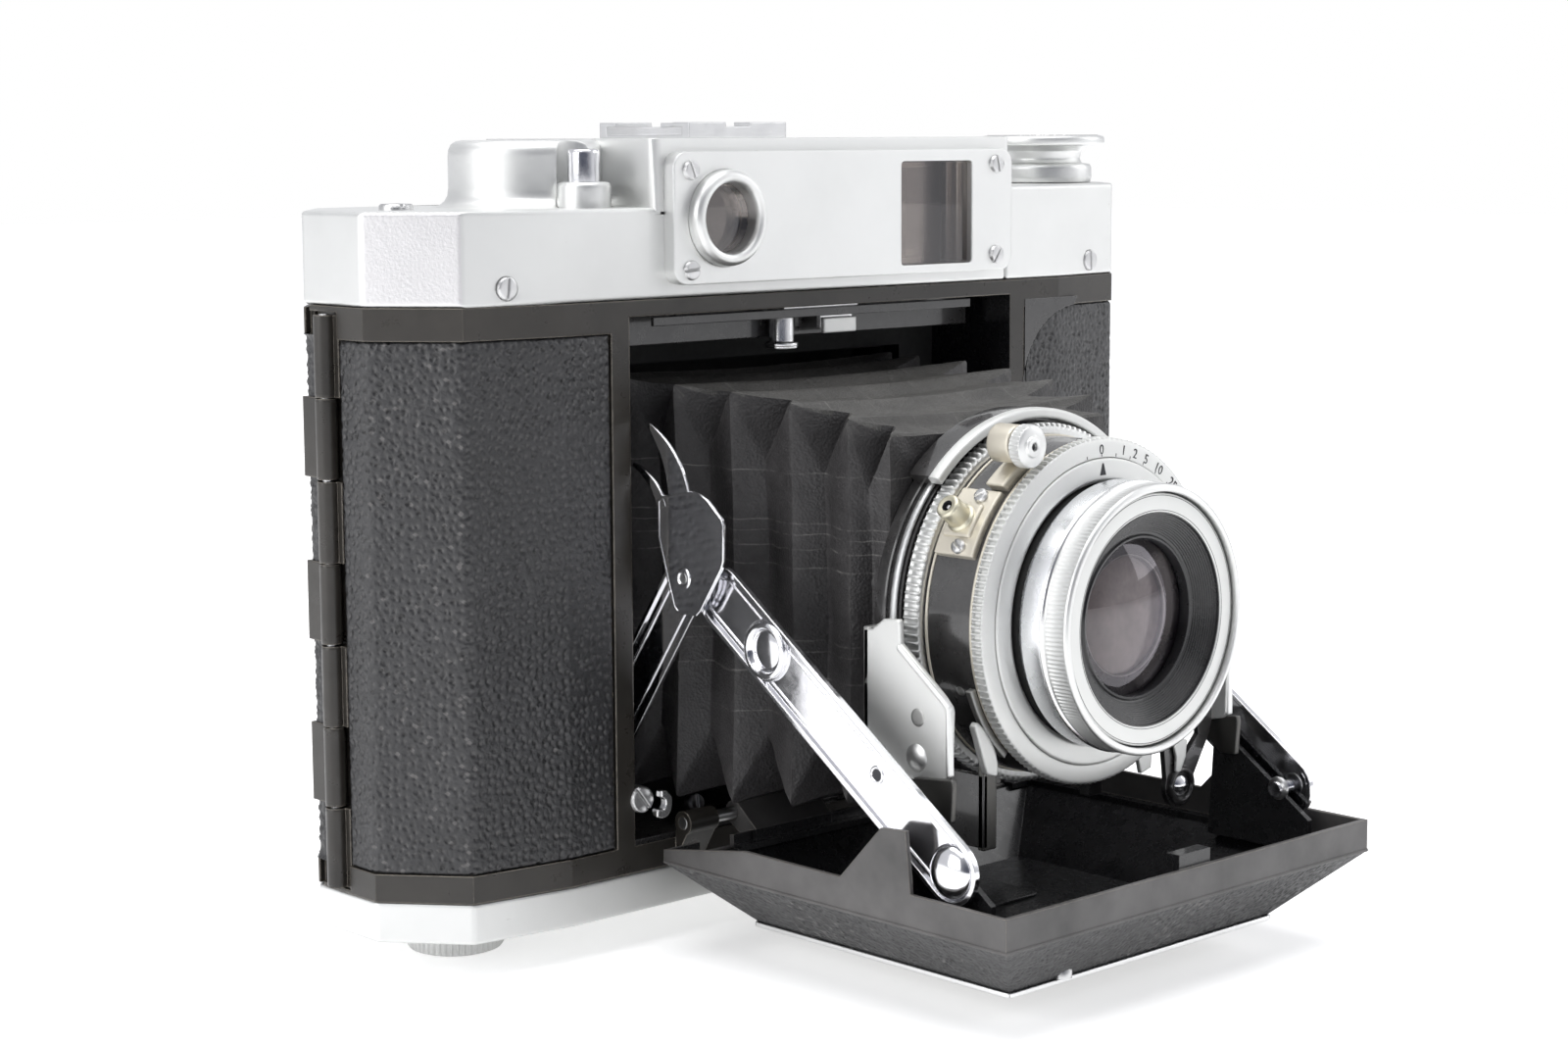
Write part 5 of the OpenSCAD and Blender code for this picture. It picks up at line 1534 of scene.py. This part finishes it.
# black teardrop link at the lower right
LINK = (19.7, 15.6)             # x, z
prism("link_plate", [polar(LINK, 3.0, a) for a in range(160, 381, 11)] + [
    (24.0, 19.0), (25.6, 21.6), (26.4, 24.2), (26.2, 27.0), (24.0, 27.6), (22.4, 25.6),
    (19.6, 25.2), (17.4, 26.4), (15.6, 25.2), (16.2, 21.6)],
    -45.6, -44.8, "y", "gloss", "standard",
    holes=[[(19.4, 19.4), (21.0, 19.6), (23.4, 22.0), (23.2, 23.6), (20.6, 23.4),
            (18.9, 21.6)]],
    bevel=0.15, slot="black_gloss")
lathe("link_boss", [
    (2.5, -45.4), (2.5, -46.0), (2.3, -46.2), (1.9, -46.2), (1.8, -45.9), (1.8, -45.4)],
    "gloss", "standard", centre=LINK, steps=64, soft=0.05, closed=True)
dome("link_rivet", (LINK[0], -45.7, LINK[1]), "-y", 1.5, 0.75, "chrome", "standard", 0.3)

# small levers under the speed ring
prism("cocking_fin", [
    (-20.0, 29.8), (-18.9, 28.9), (-17.7, 27.4), (-16.8, 25.8), (-16.3, 24.1), (-16.3, 22.7),
    (-16.9, 22.5), (-18.3, 23.0), (-19.1, 25.0), (-19.9, 27.4), (-20.6, 29.2)],
    -46.1, -45.0, "y", "white_ring", "cocking", bevel=0.2, replaces="cocking_lever",
    slot="bright")
ring("cocking_arc", "satin_dark", [(21.75, -46.0), (22.6, -46.0), (22.6, -45.1), (21.75, -45.1)],
     "cocking", soft=0.05, arc=(200, 228), steps=40)
prism("trip_tab", [
    (17.3, 22.3), (20.4, 21.7), (20.1, 19.4), (19.0, 17.3), (18.1, 17.7), (18.2, 19.6)],
    -46.2, -45.75, "y", "white_ring", "shutter_trip", bevel=0.12, replaces="release_lever",
    slot="bright")
ring("trip_arc", "satin_dark", [(21.75, -46.0), (22.5, -46.0), (22.5, -45.1), (21.75, -45.1)],
     "shutter_trip", soft=0.05, arc=(296, 322), steps=40)
prism("trip_stop", [(10.8, 21.3), (13.9, 21.9), (13.6, 18.9), (11.6, 18.4)],
      -45.7, -45.0, "y", "white_ring", "standard", bevel=0.12)


# ------------------------------------------------------------------ stage, in metres
def paper():
    """White paper that glows a little, and more so to the camera."""
    shader = Surface("paper")
    sheet = shader.make("BsdfPrincipled", {
        "Base Color": shader.mottle((0.3, 0.90), (0.7, 0.93), scale=6, rough=0.5),
        "Roughness": 0.6,
        "Normal": shader.bump(shader.noise(900), strength=0.05, distance=0.0001)})
    seen = shader.node("LightPath").outputs["Is Camera Ray"]
    strength = shader.math("ADD", shader.times(seen, 0.20), 0.30)
    glow = shader.make("Emission", {"Color": (1, 1, 1), "Strength": strength})
    return shader.close(shader.make("AddShader", {0: sheet, 1: glow}))


FLOOR_HALF = 3
FLOOR_Z = -0.00505
floor_material = paper()
floor_mesh = bpy.data.meshes.new("paper_floor")
floor_corners = rect(-FLOOR_HALF, FLOOR_HALF, -FLOOR_HALF, FLOOR_HALF)
floor_mesh.from_pydata([(x, y, FLOOR_Z) for x, y in floor_corners], [], [(0, 1, 2, 3)])
floor = link_mesh("paper_floor", floor_mesh)
floor_mesh.materials.append(floor_material)


def area_light(name, place, target, size, energy):
    light = bpy.data.lights.new(name, "AREA")
    light.shape = "RECTANGLE"
    light.size, light.size_y = size
    light.energy = energy
    light.color = (1, 1, 1)
    lamp = link_mesh(name, light)
    lamp.location = place
    aim = Vector(target) - Vector(place)
    lamp.rotation_euler = aim.to_track_quat("-Z", "Y").to_euler()


area_light("soft_top", place=(-0.10, 0.0, 0.95), target=(0, -0.02, 0.04), size=(1.0, 1.0),
           energy=8.6)
area_light("soft_left", place=(-1.0, 0.10, 0.38), target=(0, -0.02, 0.05), size=(0.7, 0.6),
           energy=4.2)
area_light("soft_right", place=(0.80, -0.45, 0.45), target=(0, -0.03, 0.05), size=(0.6, 0.6),
           energy=1.7)


def build_world():
    """White to the camera; for reflections, pale with a dark side at the front left."""
    world = bpy.data.worlds.new("studio")
    scene.world = world
    world.use_nodes = True
    nodes = Nodes(world.node_tree, "OutputWorld")
    dark_side = Vector((-0.62, -0.78, 0.0)).normalized()
    toward = nodes.make("VectorMath", {0: nodes.node("TexCoord").outputs["Generated"],
                                       1: dark_side}, "Value", operation="DOT_PRODUCT")
    tone = nodes.ramp(toward, (0.45, (0.95, 0.96, 1.0)), (0.95, (0.13, 0.14, 0.18)))
    around = nodes.make("Background", {"Color": tone, "Strength": 0.70})
    backdrop = nodes.make("Background", {"Color": (1, 1, 1), "Strength": 1.0})
    seen = nodes.node("LightPath").outputs["Is Camera Ray"]
    nodes.feed(nodes.end, nodes.make("MixShader", {0: seen, 1: around, 2: backdrop}))


def build_camera(turn, elevation, roll, distance, target, lens):
    """Looks at the target from turn degrees about z (0 is the front) and from above."""
    turn, elevation, roll = (math.radians(a) for a in (turn, elevation, roll))
    back = Vector((math.sin(turn) * math.cos(elevation),
                   -math.cos(turn) * math.cos(elevation), math.sin(elevation)))
    forward = -back
    right = forward.cross(Vector((0, 0, 1))).normalized()
    up = right.cross(forward)
    rolled_right = math.cos(roll) * right + math.sin(roll) * up
    rolled_up = -math.sin(roll) * right + math.cos(roll) * up
    view = bpy.data.cameras.new("view")
    view.sensor_width = 36
    view.lens = lens
    view.clip_start = 0.01
    camera = link_mesh("view", view)
    matrix = Matrix((rolled_right, rolled_up, back)).transposed().to_4x4()
    matrix.translation = back * distance + Vector(target)
    camera.matrix_world = matrix
    scene.camera = camera


build_world()
build_camera(turn=-43.22485, elevation=7.64708, roll=-0.2596, distance=0.388739,
             target=(-0.009057, -0.018, 0.049004), lens=65.97)
scene.view_settings.view_transform = "Standard"
scene.view_settings.look = "None"
scene.view_settings.exposure = 0.0
